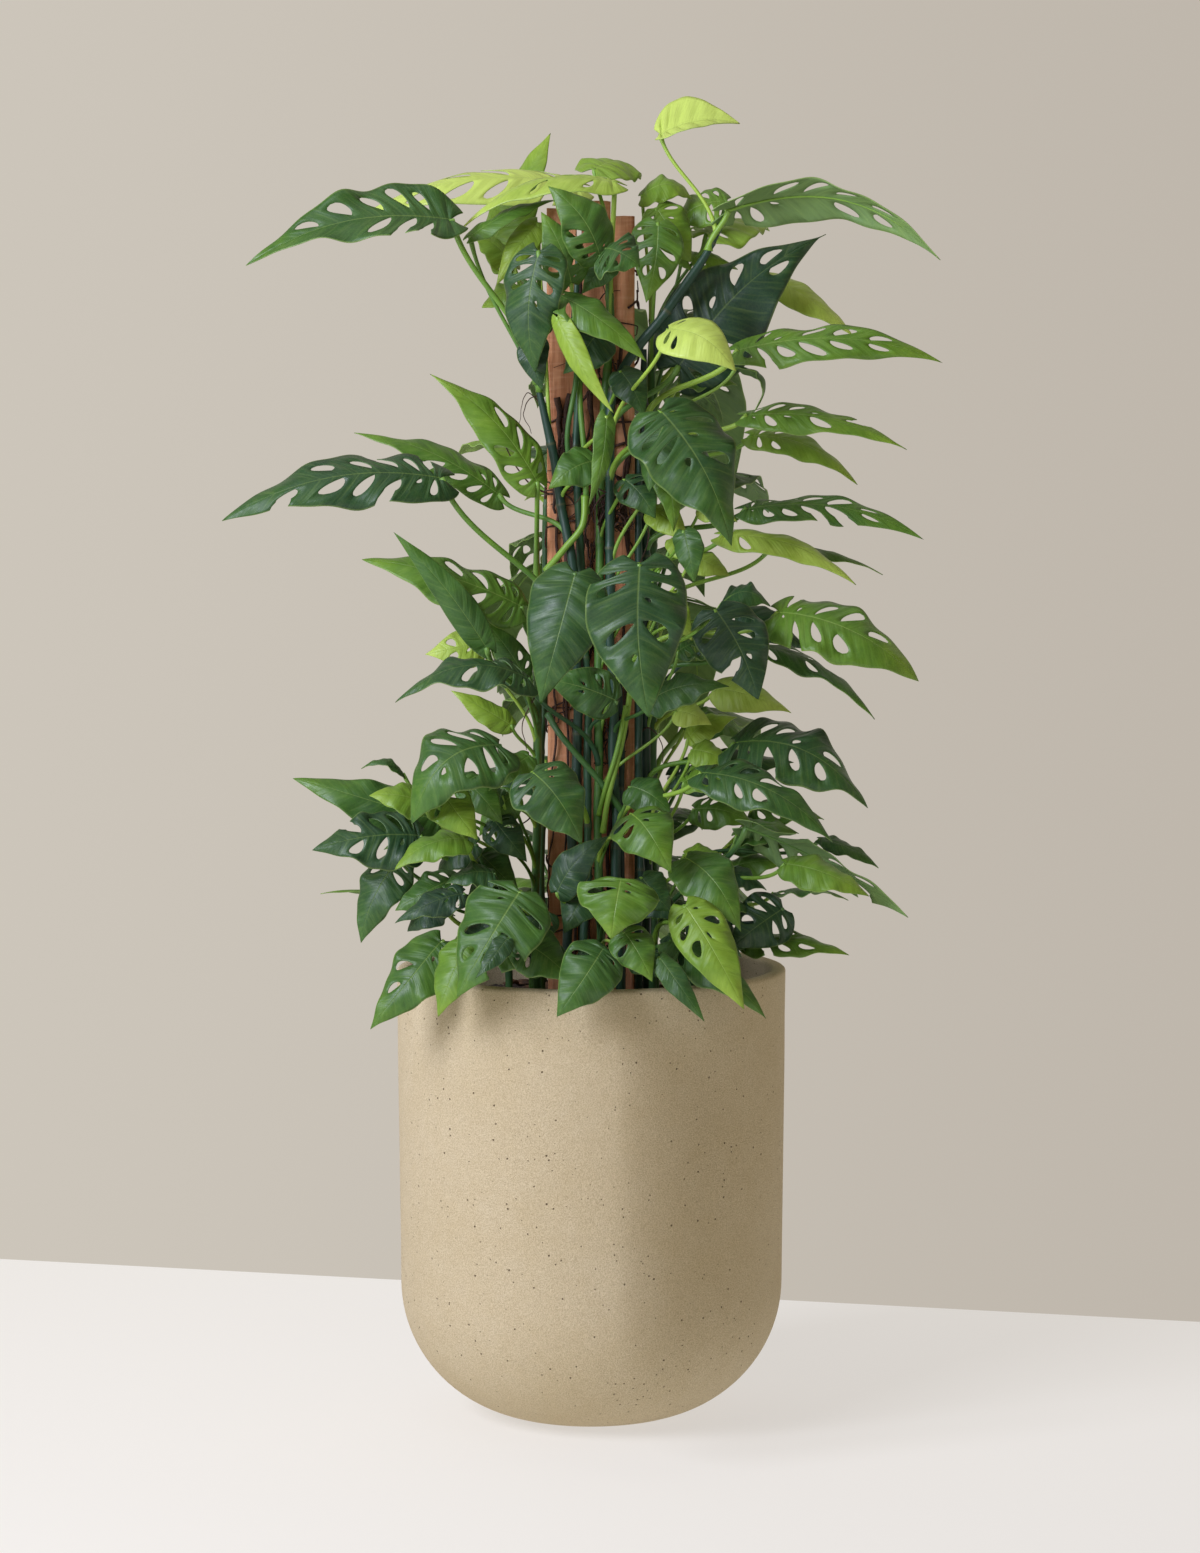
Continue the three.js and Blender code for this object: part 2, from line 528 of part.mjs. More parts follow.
function potGeometry() {
  const outer = potOutline(0);
  const inner = potOutline(POT.wall);
  const top = outer.pop();
  const rim = inner.pop();
  const profile = [
    new THREE.Vector2(0, 0),
    ...outer,
    new THREE.Vector2(top.x, top.y - POT.lip),
    new THREE.Vector2(top.x - POT.lip * 0.3, top.y - POT.lip * 0.3),
    new THREE.Vector2(top.x - POT.lip, top.y),
    new THREE.Vector2(rim.x + POT.lip * 0.6, rim.y),
    new THREE.Vector2(rim.x, rim.y - POT.lip * 0.6),
    ...inner.reverse().filter((p) => p.y > POT.floor),
    new THREE.Vector2(inner.at(-1).x, POT.floor),
    new THREE.Vector2(0, POT.floor),
  ];
  return new THREE.LatheGeometry(profile, POT.sides).rotateX(Math.PI / 2);
}

// Soil: fills the pot, heaped a little round the stakes, with a plain hole for each stem.
function soilGeometry() {
  const roundToFlat = Math.cos(Math.PI / POT.sides);
  const inner = potOutline(POT.wall).map((p) => new THREE.Vector2(p.x * roundToFlat - GAP, p.y + GAP));
  const rim = inner.pop();
  const share = (SOIL.level - POT.heel) / (POT.height - POT.heel);
  const wallAtTop = inner.at(-1).x + (rim.x - inner.at(-1).x) * share;
  const floor = POT.floor + GAP;
  const profile = [
    new THREE.Vector2(0, floor),
    new THREE.Vector2(inner[0].x, floor),
    ...inner.filter((p) => p.y > floor + 1),
    new THREE.Vector2(wallAtTop, SOIL.level - 6),
    new THREE.Vector2(wallAtTop * 0.86, SOIL.level),
    new THREE.Vector2(wallAtTop * 0.4, SOIL.level + SOIL.mound * 0.8),
    new THREE.Vector2(0, SOIL.level + SOIL.mound),
  ];
  let soil = solidOf(new THREE.LatheGeometry(profile, SOIL.sides).rotateX(Math.PI / 2));
  for (const stake of Object.values(STAKES)) soil = soil.subtract(solidOf(stakeGeometry(stake, GAP)));
  for (const stem of Object.values(STEMS)) {
    const [x, y] = stem.route[0];
    const bottom = new THREE.Vector3(x, y, STEM.foot - GAP);
    const line = new THREE.LineCurve3(bottom, new THREE.Vector3(x, y, SOIL.level + 3 * SOIL.mound));
    soil = soil.subtract(solidOf(rod(line, stem.radius + SOIL.hole, STEM.sides, 1)));
  }
  return geometryOf(soil);
}

// Stake: a rough-sawn slat with its long edges broken, leaning a little at the top.
function stakeGeometry(stake, grow) {
  const w = stake.width / 2 + grow;
  const d = STAKE.thickness / 2 + grow;
  const c = STAKE.chamfer;
  const section = new THREE.Shape(
    [[w - c, d], [-w + c, d], [-w, d - c], [-w, -d + c], [-w + c, -d], [w - c, -d], [w, -d + c], [w, d - c]]
      .map(([x, y]) => new THREE.Vector2(x, y)),
  );
  const height = stake.top - STAKE.foot + grow;
  const geometry = new THREE.ExtrudeGeometry(section, { depth: height, bevelEnabled: false });
  geometry.applyMatrix4(new THREE.Matrix4().makeShear(0, 0, 0, 0, stake.lean / height, 0));
  return geometry.translate(stake.x, stake.y, STAKE.foot - grow);
}

const plant = new THREE.Group();

function add(name, geometry, colour, roughness) {
  const mesh = new THREE.Mesh(geometry, new THREE.MeshStandardMaterial({ color: colour, roughness }));
  mesh.name = name;
  plant.add(mesh);
}

add("pot", potGeometry(), 0xcdbd9e, 0.8);
add("soil", soilGeometry(), 0x2c211a, 1);
for (const [name, stake] of Object.entries(STAKES)) add(name, stakeGeometry(stake, 0), 0x9c5f41, 0.9);
for (const [name, stem] of Object.entries(STEMS)) add(name, leafyStem(stem), 0x2f6b35, 0.45);

export default plant;
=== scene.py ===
# %% [markdown]
# # A potted swiss cheese vine
#
# A climbing plant in a round-bottomed cement pot, tied by its own roots to three rough wooden
# stakes. The solid model gives the place of everything: this lesson loads it as a fixed frame
# and dresses each of its parts with a finer surface. Sizes in the tables are millimetres, as
# on a drawing, and become metres only when a mesh is made.

import bmesh
import bpy
import numpy as np
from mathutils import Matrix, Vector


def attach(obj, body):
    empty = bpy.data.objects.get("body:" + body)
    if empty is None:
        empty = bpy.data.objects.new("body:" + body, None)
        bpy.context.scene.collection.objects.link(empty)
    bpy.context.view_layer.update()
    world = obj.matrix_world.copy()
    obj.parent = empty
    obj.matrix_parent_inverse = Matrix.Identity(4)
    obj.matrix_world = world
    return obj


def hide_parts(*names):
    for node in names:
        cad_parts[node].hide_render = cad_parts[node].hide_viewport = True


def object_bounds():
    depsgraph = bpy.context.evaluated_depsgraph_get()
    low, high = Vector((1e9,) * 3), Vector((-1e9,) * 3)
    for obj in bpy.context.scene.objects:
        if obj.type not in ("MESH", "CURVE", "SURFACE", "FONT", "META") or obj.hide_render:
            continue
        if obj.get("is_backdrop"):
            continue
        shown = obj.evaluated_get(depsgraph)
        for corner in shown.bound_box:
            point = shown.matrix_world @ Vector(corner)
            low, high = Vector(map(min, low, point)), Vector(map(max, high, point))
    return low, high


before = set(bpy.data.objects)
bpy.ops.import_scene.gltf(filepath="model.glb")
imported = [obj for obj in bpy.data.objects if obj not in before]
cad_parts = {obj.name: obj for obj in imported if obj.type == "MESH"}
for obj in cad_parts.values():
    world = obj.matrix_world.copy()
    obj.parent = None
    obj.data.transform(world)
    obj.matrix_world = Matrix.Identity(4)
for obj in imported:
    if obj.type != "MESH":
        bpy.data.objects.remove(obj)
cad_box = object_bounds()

MM = 0.001
print("parts of the frame:", ", ".join(sorted(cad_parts)))

# %% [markdown]
# ## Surfaces from grids
#
# A leaf, a stalk, a stake and the pot are all sheets: a grid of points that follows a formula.
# Tubes close on themselves across the grid, and some cells may be left out to make a hole.
# Blender could also draw them with curves and modifiers, but a grid keeps full control of
# where each vein and each hole falls, so one helper turns any list of grids into a mesh.


# %% A mesh from a list of grids
def quads_of(rows, columns, wrap):
    """Corner numbers of each cell: one step down the rows, then one step across the columns."""
    row, column = np.meshgrid(np.arange(rows - 1), np.arange(columns - (not wrap)), indexing="ij")
    after = (column + 1) % columns
    corners = [(row, column), (row + 1, column), (row + 1, after), (row, after)]
    return np.stack([r * columns + c for r, c in corners], axis=-1).reshape(-1, 4)


def grid(points, wrap=False, keep=None, uv=None, **facts):
    """A sheet of points with the numbers that its material reads at each point."""
    rows, columns = points.shape[:2]
    quads = quads_of(rows, columns, wrap)
    if keep is not None:
        quads = quads[keep.ravel()]
    facts = {name: np.broadcast_to(value, (rows, columns)).ravel() for name, value in facts.items()}
    uv = {
        name: np.stack(np.broadcast_arrays(*pair), axis=-1).reshape(-1, 2)
        for name, pair in (uv or {}).items()
    }
    return {"points": points.reshape(-1, 3), "quads": quads, "facts": facts, "uv": uv}


def closed(points, **facts):
    """A sheet whose rows close on themselves, turned so that its faces look outward."""
    return grid(points[:, ::-1], wrap=True, **facts)


def mesh_of(name, grids):
    """One mesh of all the grids: points in metres, four corners a face, with facts and maps."""
    starts = np.cumsum([0] + [len(g["points"]) for g in grids[:-1]])
    quads = np.concatenate([g["quads"] + start for g, start in zip(grids, starts)]).astype(np.int32)
    points = np.concatenate([g["points"] for g in grids]) * MM
    mesh = bpy.data.meshes.new(name)
    mesh.vertices.add(len(points))
    mesh.vertices.foreach_set("co", points.ravel())
    mesh.loops.add(quads.size)
    mesh.loops.foreach_set("vertex_index", quads.ravel())
    mesh.polygons.add(len(quads))
    mesh.polygons.foreach_set("loop_start", np.arange(0, quads.size, 4, dtype=np.int32))
    mesh.update(calc_edges=True)
    for fact in grids[0]["facts"]:
        values = np.concatenate([g["facts"][fact] for g in grids])
        mesh.attributes.new(fact, "FLOAT", "POINT").data.foreach_set("value", values)
    for layer in grids[0]["uv"]:
        values = np.concatenate([g["uv"][layer] for g in grids])
        mesh.uv_layers.new(name=layer).data.foreach_set("uv", values[quads.ravel()].ravel())
    return mesh


# %% From grids to a finished piece
TOUCHING = 1e-6


def merge_doubles(mesh):
    """Closes the points where a row of the grid shrinks to nothing, and drops unused points."""
    work = bmesh.new()
    work.from_mesh(mesh)
    bmesh.ops.remove_doubles(work, verts=work.verts, dist=TOUCHING)
    bmesh.ops.delete(work, geom=[v for v in work.verts if not v.link_faces], context="VERTS")
    work.to_mesh(mesh)
    work.free()


def piece(name, grids, slot, *materials, crease=None):
    """A finished object at the origin, smooth but for creases, that rides on the plant's body."""
    mesh = mesh_of(name, grids)
    merge_doubles(mesh)
    mesh.shade_smooth()
    if crease is not None:
        mesh.set_sharp_from_angle(angle=np.radians(crease))
    for material in materials:
        mesh.materials.append(material)
    made = bpy.data.objects.new(name, mesh)
    bpy.context.collection.objects.link(made)
    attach(made, "root")
    return made


# %% [markdown]
# ## Uneven like nature
#
# Wood, soil and cement differ a little from place to place. Value noise gives that: random
# heights on a lattice, blended smoothly between. The seed fixes the draw, so that each run of
# the lesson makes the same plant.

# %% Noise and tubes
LATTICE = (97, 89)


def smooth_noise(x, y, seed):
    """Value noise from -1 to 1: lattice heights weighted by a smooth step along x and along y."""
    table = np.random.default_rng(seed).uniform(-1, 1, LATTICE)
    column, row = np.floor(x).astype(int), np.floor(y).astype(int)
    fx, fy = x - column, y - row
    fx, fy = fx * fx * (3 - 2 * fx), fy * fy * (3 - 2 * fy)
    at = lambda i, j: table[(column + i) % LATTICE[0], (row + j) % LATTICE[1]]
    near, far = (at(0, j) * (1 - fx) + at(1, j) * fx for j in (0, 1))
    return near * (1 - fy) + far * fy


def unit(vectors):
    return vectors / np.linalg.norm(vectors, axis=-1, keepdims=True)


def tube(path, radius, reference, sides, **facts):
    """Round tube: each ring stands square to the path, turned by a reference direction.
    point = path + radius (cos angle across + sin angle over), and both ends shrink to a point."""
    ended = lambda rows: np.concatenate([rows[:1], rows, rows[-1:]])
    along = unit(np.gradient(path, axis=0))
    across = unit(np.cross(along, reference))
    over = np.cross(across, along)
    angle = np.linspace(0, 2 * np.pi, sides, endpoint=False)[None, :, None]
    turn = ended(np.cos(angle) * across[:, None] + np.sin(angle) * over[:, None])
    radius = ended(np.broadcast_to(radius, len(path)))[:, None, None]
    radius[[0, -1]] = 0
    facts = {name: ended(np.broadcast_to(value, len(path)))[:, None] for name, value in facts.items()}
    return closed(ended(path)[:, None] + radius * turn, **facts)


# %% [markdown]
# ## Shader helpers
#
# A material is a small graph of nodes. Short helpers keep the graphs easy to read: one adds a
# node and fills its inputs by name, one does sums, and one gives a shader its finish. Effects
# that several finishes share, such as leaf veins or mottling, become node groups with named
# inputs and outputs.

# %% Nodes and sums
FLOAT, COLOUR, VECTOR = "NodeSocketFloat", "NodeSocketColor", "NodeSocketVector"


def fill(made, inputs):
    """Fills the inputs of a node with values, or links them to outputs of other nodes."""
    for socket, value in inputs.items():
        if isinstance(value, bpy.types.NodeSocket):
            made.id_data.links.new(value, made.inputs[socket])
        else:
            made.inputs[socket].default_value = value


def node(tree, kind, inputs=None, **settings):
    """Adds a shader node of a kind, sets its options, then fills its inputs."""
    made = tree.nodes.new(f"ShaderNode{kind}")
    for name, value in settings.items():
        setattr(made, name, value)
    fill(made, inputs or {})
    return made


def maths(tree, operation, *values, clamp=False):
    numbered = dict(enumerate(values))
    return node(tree, "Math", numbered, operation=operation, use_clamp=clamp).outputs[0]


def smooth_step(tree, value, low, high, first=0.0, last=1.0):
    inputs = {"Value": value, "From Min": low, "From Max": high, "To Min": first, "To Max": last}
    return node(tree, "MapRange", inputs, interpolation_type="SMOOTHSTEP").outputs[0]


def blend(tree, share, a, b):
    """Mixes colour b into colour a by a share."""
    return node(tree, "Mix", {0: share, 6: a, 7: b}, data_type="RGBA").outputs[2]


def srgb(red, green, blue):
    """A colour chosen on a screen, from 0 to 255, as the linear light that Blender works in."""
    c = np.array([red, green, blue]) / 255
    return (*np.where(c <= 0.04045, c / 12.92, ((c + 0.055) / 1.055) ** 2.4).tolist(), 1.0)


def ramp(tree, value, stops):
    """A colour ramp from stops, each a position and the red, green and blue of a screen."""
    made = node(tree, "ValToRGB", {0: value})
    elements = made.color_ramp.elements
    while len(elements) < len(stops):
        elements.new(0.5)
    for element, (position, *colour) in zip(elements, stops):
        element.position = position
        element.color = srgb(*colour)
    return made.outputs[0]


# %% What a graph can read, shared groups and finished shaders
def object_place(tree, scale=None):
    """Where on the object a point is, in metres, scaled along its axes where asked."""
    place = node(tree, "TexCoord").outputs["Object"]
    if scale is None:
        return place
    return node(tree, "Mapping", {"Vector": place, "Scale": scale}).outputs[0]


def fact(tree, name):
    """A number that the mesh keeps at its points."""
    return node(tree, "Attribute", attribute_name=name).outputs["Fac"]


def group_of(name, inputs, outputs):
    """An empty node group with named sockets: (name, kind, default) going in, (name, kind) out."""
    tree = bpy.data.node_groups.new(name, "ShaderNodeTree")
    for socket, kind, default in inputs:
        made = tree.interface.new_socket(socket, in_out="INPUT", socket_type=kind)
        made.default_value = default
    for socket, kind in outputs:
        tree.interface.new_socket(socket, in_out="OUTPUT", socket_type=kind)
    return tree, tree.nodes.new("NodeGroupInput").outputs, tree.nodes.new("NodeGroupOutput")


def use_group(tree, group, **inputs):
    filled = {name.replace("_", " "): value for name, value in inputs.items()}
    return node(tree, "Group", filled, node_tree=group).outputs


def material_of(name):
    """A new material, its graph and its shader."""
    made = bpy.data.materials.new(name)
    made.use_nodes = True
    return made, made.node_tree, made.node_tree.nodes["Principled BSDF"]


def finish(shader, tint, roughness, specular=0.5, relief=None, strength=1.0, depth=0.001):
    """Gives a shader its colour and gloss and, where there is a relief, its fine bumps."""
    fill(shader, {"Base Color": tint, "Roughness": roughness, "Specular IOR Level": specular})
    if relief is not None:
        bump = {"Height": relief, "Strength": strength, "Distance": depth}
        fill(shader, {"Normal": node(shader.id_data, "Bump", bump).outputs[0]})


# %% A group for mottling, used by cement, wood, soil and leaves
mottling, given, out = group_of(
    "Mottling",
    [
        ("Vector", VECTOR, (0, 0, 0)),
        ("Coarse", FLOAT, 20.0),
        ("Fine", FLOAT, 200.0),
        ("Fine share", FLOAT, 0.4),
    ],
    [("Value", FLOAT)],
)
coarse, fine = (
    node(mottling, "TexNoise", {"Vector": given["Vector"], "Scale": given[size], "Detail": detail})
    for size, detail in (("Coarse", 3.0), ("Fine", 2.0))
)
mixed = {0: given["Fine share"], 2: coarse.outputs[0], 3: fine.outputs[0]}
fill(out, {"Value": node(mottling, "Mix", mixed, data_type="FLOAT").outputs[0]})


def mottled(tree, place, coarse, fine, share):
    """Uses the group at a place, with the scales of its two noises and the finer one's share."""
    inputs = {"Vector": place, "Coarse": coarse, "Fine": fine, "Fine_share": share}
    return use_group(tree, mottling, **inputs)["Value"]


print("shared effect:", mottling.name)

# %% [markdown]
# ## The pot
#
# The real pot is cast from cement with fine sand: a cylinder on a round heel, with a thin wall
# and a softly rounded lip. It is a surface of revolution, so its profile is worked out once
# and carried round the axis. The cast skin is matt and sandy, with small open pits where air
# was trapped against the mould, so colour and bump both read the same grain; the pits are
# painted dark as the shade inside them.

# %% The pot's profile and surface
POT = {
    "radius": 200, "height": 465, "heel": 140, "taper": 3, "wall": 15, "floor": 22, "lip": 5,
    "foot": 30, "uneven": 0.35, "sides": 192,
}


def pot_outline(inset, steps=28):
    """Foot, heel and side of the pot at some depth in its wall. On the heel the radius is
    middle + bend sin(t) and the height heel - bend cos(t), as t goes through a right angle."""
    bend = POT["heel"] - inset
    middle = POT["radius"] - POT["taper"] - POT["heel"]
    t = np.linspace(0, np.pi / 2, steps)
    heel = np.stack([middle + bend * np.sin(t), POT["heel"] - bend * np.cos(t)], axis=1)
    rise = np.linspace(0, 1, 24)[1:, None]
    top = np.array([POT["radius"] - inset, POT["height"]])
    return np.concatenate([heel, heel[-1] + (top - heel[-1]) * rise])


def lip_outline(steps=9):
    """The rounded lip: half an ellipse over the wall's thickness, a little squarer."""
    t = np.linspace(0, np.pi, steps)
    half = POT["wall"] / 2
    across = POT["radius"] - half + half * np.cos(t)
    return np.stack([across, POT["height"] - POT["lip"] + POT["lip"] * np.sin(t) ** 0.7], axis=1)


outer, inner = pot_outline(0), pot_outline(POT["wall"])
inner = inner[inner[:, 1] > POT["floor"]]
foot = np.array([[0, 0], [POT["foot"], 0]])
inside_floor = np.array([[inner[0, 0], POT["floor"]], [0, POT["floor"]]])
profile = np.concatenate([foot, outer[:-1], lip_outline(), inner[-2::-1], inside_floor])
across, up = profile[:, :1], profile[:, 1:]
angle = np.linspace(0, 2 * np.pi, POT["sides"], endpoint=False)
uneven = POT["uneven"] * smooth_noise(angle * 2.3, up / 90, 11) * (across > POT["foot"] + 10)
radius = across + uneven
pot_points = np.stack(np.broadcast_arrays(radius * np.cos(angle), radius * np.sin(angle), up), axis=-1)
print("pot profile points:", len(profile), "round the axis:", len(angle))

# %% Cast cement, with a pit in some cells of the skin and more pits in some patches
cement, tree, shader = material_of("sandy_cement")
where = object_place(tree)
cloudy, sand = mottled(tree, where, 9.0, 55.0, 0.35), mottled(tree, where, 800.0, 1500.0, 0.4)
tint = ramp(tree, cloudy, [(0.3, 206, 189, 153), (0.5, 210, 194, 160), (0.7, 214, 199, 167)])
tint = blend(tree, smooth_step(tree, sand, 0.38, 0.6, 0.42, 0.0), tint, srgb(134, 114, 78))
cells = node(tree, "TexVoronoi", {"Vector": where, "Scale": 150.0}).outputs
chosen = node(tree, "SeparateColor", {0: cells["Color"]}).outputs
patchy = mottled(tree, where, 7.0, 20.0, 0.3)
rare = maths(tree, "GREATER_THAN", maths(tree, "MULTIPLY_ADD", patchy, 1.8, chosen[0]), 1.4)
size = maths(tree, "MULTIPLY_ADD", chosen[1], 0.12, 0.07)
near = maths(tree, "SUBTRACT", 1.0, maths(tree, "DIVIDE", cells["Distance"], size), clamp=True)
pit = maths(tree, "MULTIPLY", smooth_step(tree, near, 0.0, 0.5), rare)
# The pits turn deep brown: painted shade inside their hollows.
tint = blend(tree, maths(tree, "MULTIPLY", pit, 0.85), tint, srgb(84, 66, 42))
height = maths(tree, "SUBTRACT", maths(tree, "MULTIPLY", sand, 0.8), pit)
finish(shader, tint, 0.82, specular=0.25, relief=height, strength=0.9, depth=0.0018)

cast_pot = piece("cast_pot", [closed(pot_points)], "pot", cement, crease=50)
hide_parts("pot")
print("cast pot:", len(cast_pot.data.polygons), "faces")

# %% [markdown]
# ## The soil
#
# Dark potting mix lies about 35 mm under the rim, heaped round the stakes. Only glimpses of it
# show between the leaves, but from above it fills the pot, so it gets real lumps and a scatter
# of bark chips rather than a flat disc.

# %% Lumpy soil
SOIL = {
    "level": 430, "mound": 10, "reach": 185, "settled": 7, "edge": 12, "clearance": 0.6,
    "chips": 170, "scatter": 172,
}
LUMPS = [(4.5, 17, 40, 21), (2.2, 6, 60, 22)]  # height, width, place in the noise, seed
STAKES = {
    "stake_left": {"x": -29, "y": 4, "width": 31, "top": 1239, "lean": -1},
    "stake_middle": {"x": 4, "y": 12, "width": 30, "top": 1247, "lean": 1},
    "stake_right": {"x": 33, "y": 4, "width": 23, "top": 1231, "lean": 0},
}


def soil_height(x, y):
    """Level plus a mound over the middle, plus two sizes of lumps."""
    away = np.hypot(x, y) / SOIL["reach"]
    lumps = sum(
        tall * smooth_noise(x / wide + shift, y / wide + shift, seed)
        for tall, wide, shift, seed in LUMPS
    )
    return SOIL["level"] + SOIL["mound"] * (1 - away**2) + lumps - SOIL["settled"]


base = POT["floor"] + 1
wall_inside = pot_outline(POT["wall"] + SOIL["clearance"])
up = wall_inside[:, 1]
wall_inside = wall_inside[(up > base) & (up < SOIL["level"] - SOIL["edge"])]
bottom = np.array([[0, base], [wall_inside[0, 0], base]])
inward = np.linspace(1, 0, 46)[:, None] * np.array([[wall_inside[-1, 0], 0]])
soil_profile = np.concatenate([bottom, wall_inside, inward])
turns = np.linspace(0, 2 * np.pi, 128, endpoint=False)
x, y = soil_profile[:, :1] * np.cos(turns), soil_profile[:, :1] * np.sin(turns)
on_top = (np.arange(len(soil_profile)) >= len(bottom) + len(wall_inside))[:, None]
z = np.where(on_top, soil_height(x, y), soil_profile[:, 1:])


# %% Bark chips
def chip(rng):
    """A bark chip: a sphere of 6 by 8 points, flattened to a slab, with its points knocked about."""
    down = np.linspace(0, np.pi, 6)[:, None]
    round_it = np.linspace(0, 2 * np.pi, 8, endpoint=False)
    level = (np.sin(down) * np.cos(round_it), np.sin(down) * np.sin(round_it))
    ball = np.stack(np.broadcast_arrays(*level, np.cos(down)), axis=-1)
    ball = np.sign(ball) * np.abs(ball) ** 0.7 * rng.uniform([5, 3, 1.4], [12, 7, 3])
    ball[1:-1] *= rng.uniform(0.8, 1.15, ball[1:-1, :, :1].shape)
    tilt, bearing = rng.normal(0, 0.35), rng.uniform(0, 2 * np.pi)
    c, s, ct, st = np.cos(bearing), np.sin(bearing), np.cos(tilt), np.sin(tilt)
    tilted = np.array([[1, 0, 0], [0, ct, -st], [0, st, ct]])
    turned = np.array([[c, -s, 0], [s, c, 0], [0, 0, 1]])
    away, way = SOIL["scatter"] * np.sqrt(rng.uniform(0.02, 1)), rng.uniform(0, 2 * np.pi)
    x, y = away * np.cos(way), away * np.sin(way)
    return closed(ball @ (tilted.T @ turned.T) + np.array([x, y, soil_height(x, y) + 1]))


# %% Soil and bark, laid in the pot
earth, tree, shader = material_of("potting_mix")
crumbs = mottled(tree, object_place(tree), 90.0, 420.0, 0.5)
tint = ramp(tree, crumbs, [(0.3, 22, 16, 12), (0.55, 52, 38, 28), (0.75, 92, 70, 50)])
finish(shader, tint, 0.95, relief=crumbs, strength=0.9, depth=0.002)

bark, tree, shader = material_of("bark_chip")
flecks = mottled(tree, object_place(tree), 60.0, 500.0, 0.4)
finish(shader, ramp(tree, flecks, [(0.35, 44, 28, 18), (0.65, 112, 78, 50)]), 0.9)

soil_top = piece("potting_soil", [closed(np.stack([x, y, z], axis=-1))], "soil", earth)
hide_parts("soil")
draw = np.random.default_rng(5)
chips = piece("bark_chips", [chip(draw) for _ in range(SOIL["chips"])], "soil", bark)
print("soil:", len(soil_top.data.polygons), "faces, bark chips:", len(chips.data.polygons), "faces")

# %% [markdown]
# ## The stakes
#
# Three slats of rough-sawn, reddish hardwood. Sawing tears the fibres, so the faces are ridged
# along the grain and nicked at the edges. A rounded rectangle is carried up the slat, and noise
# that is short across the grain and long along it pushes the surface in and out.

# %% Rough-sawn slats
STAKE = {"foot": 150, "thickness": 20, "corner": 0.24}


def slat(stake, seed, around=64, rings=300):
    """point = centre line + section (1 + wear), where the section is a rounded rectangle and
    the wear is noise stretched along the grain."""
    t = np.linspace(0, 2 * np.pi, around, endpoint=False)[None]
    w, d = stake["width"] / 2, STAKE["thickness"] / 2
    x = w * np.sign(np.cos(t)) * np.abs(np.cos(t)) ** STAKE["corner"]
    y = d * np.sign(np.sin(t)) * np.abs(np.sin(t)) ** STAKE["corner"]
    foot, top = STAKE["foot"], stake["top"]
    height = np.concatenate([[foot], np.linspace(foot, top, rings), [top]])[:, None]
    up = (height - foot) / (top - foot)
    across = np.cumsum(np.hypot(np.diff(x, append=x[:, :1]), np.diff(y, append=y[:, :1])), axis=1)
    fibre = smooth_noise(across / 1.6, height / 70, seed)
    torn = smooth_noise(across / 4, height / 16, seed + 1)
    wear = 0.35 * fibre + 0.5 * np.minimum(torn, 0) - 0.25
    slope = unit(np.stack([x / w**2, y / d**2], axis=-1))
    shut = np.ones((len(height), 1))
    shut[[0, -1]] = 0
    saw_cut = np.where(up > 0.999, 0.8 * smooth_noise(x / 5 + 9, y / 5 + 9, seed + 2), 0)
    px = stake["x"] + stake["lean"] * up + shut * (x + wear * slope[..., 0])
    py = stake["y"] + shut * (y + wear * slope[..., 1])
    return closed(np.stack([px, py, height + saw_cut], axis=-1))


# %% Sawn hardwood
timber, tree, shader = material_of("sawn_hardwood")
grain = mottled(tree, object_place(tree, (1, 1, 0.045)), 120.0, 650.0, 0.5)
stain = mottled(tree, object_place(tree), 14.0, 70.0, 0.35)
tint = ramp(
    tree, grain,
    [(0.3, 160, 102, 70), (0.45, 210, 146, 106), (0.6, 218, 160, 120), (0.8, 236, 188, 148)],
)
tint = blend(tree, smooth_step(tree, stain, 0.42, 0.7, 0.0, 0.55), tint, srgb(150, 92, 62))
across_grain = {"Vector": object_place(tree, (0.15, 0.15, 1)), "Scale": 260.0, "Detail": 1.0}
saw_marks = node(tree, "TexNoise", across_grain).outputs[0]
tint = blend(tree, smooth_step(tree, saw_marks, 0.5, 0.75, 0.0, 0.22), tint, srgb(238, 192, 156))
height = maths(tree, "ADD", grain, maths(tree, "MULTIPLY", saw_marks, 0.4))
finish(shader, tint, 0.9, specular=0.2, relief=height, strength=0.8, depth=0.0012)

for number, (name, stake) in enumerate(STAKES.items()):
    wood = slat(stake, seed=31 + 5 * number)
    made = piece(name.replace("stake", "slat"), [wood], "stake", timber, crease=45)
    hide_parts(name)
    print(made.name, len(made.data.polygons), "faces")

# %% [markdown]
# ## Stems and leaves: the table
#
# The vine is nine climbing stems and six short shoots by the rim. Each has the route that its
# middle follows and one row a leaf: the height where the petiole leaves the stem; the blade's
# base and tip as x, z and y; its width; the turn and rise of its upper face in degrees; how
# far the midrib arches, as a share of its length; how pierced it is, from 0 to 3; its age from
# 0, old and dark, to 1, new and pale; and the twist of its tip. A last number, where a row has
# one, says how steeply the halves fall from the midrib, and below 0 they rise. Bases and tips
# are given as they are seen in the plane of the pot's axis, and moved along the line of sight
# to their depth. Under "behind" stands the rule for leaves of the far side.

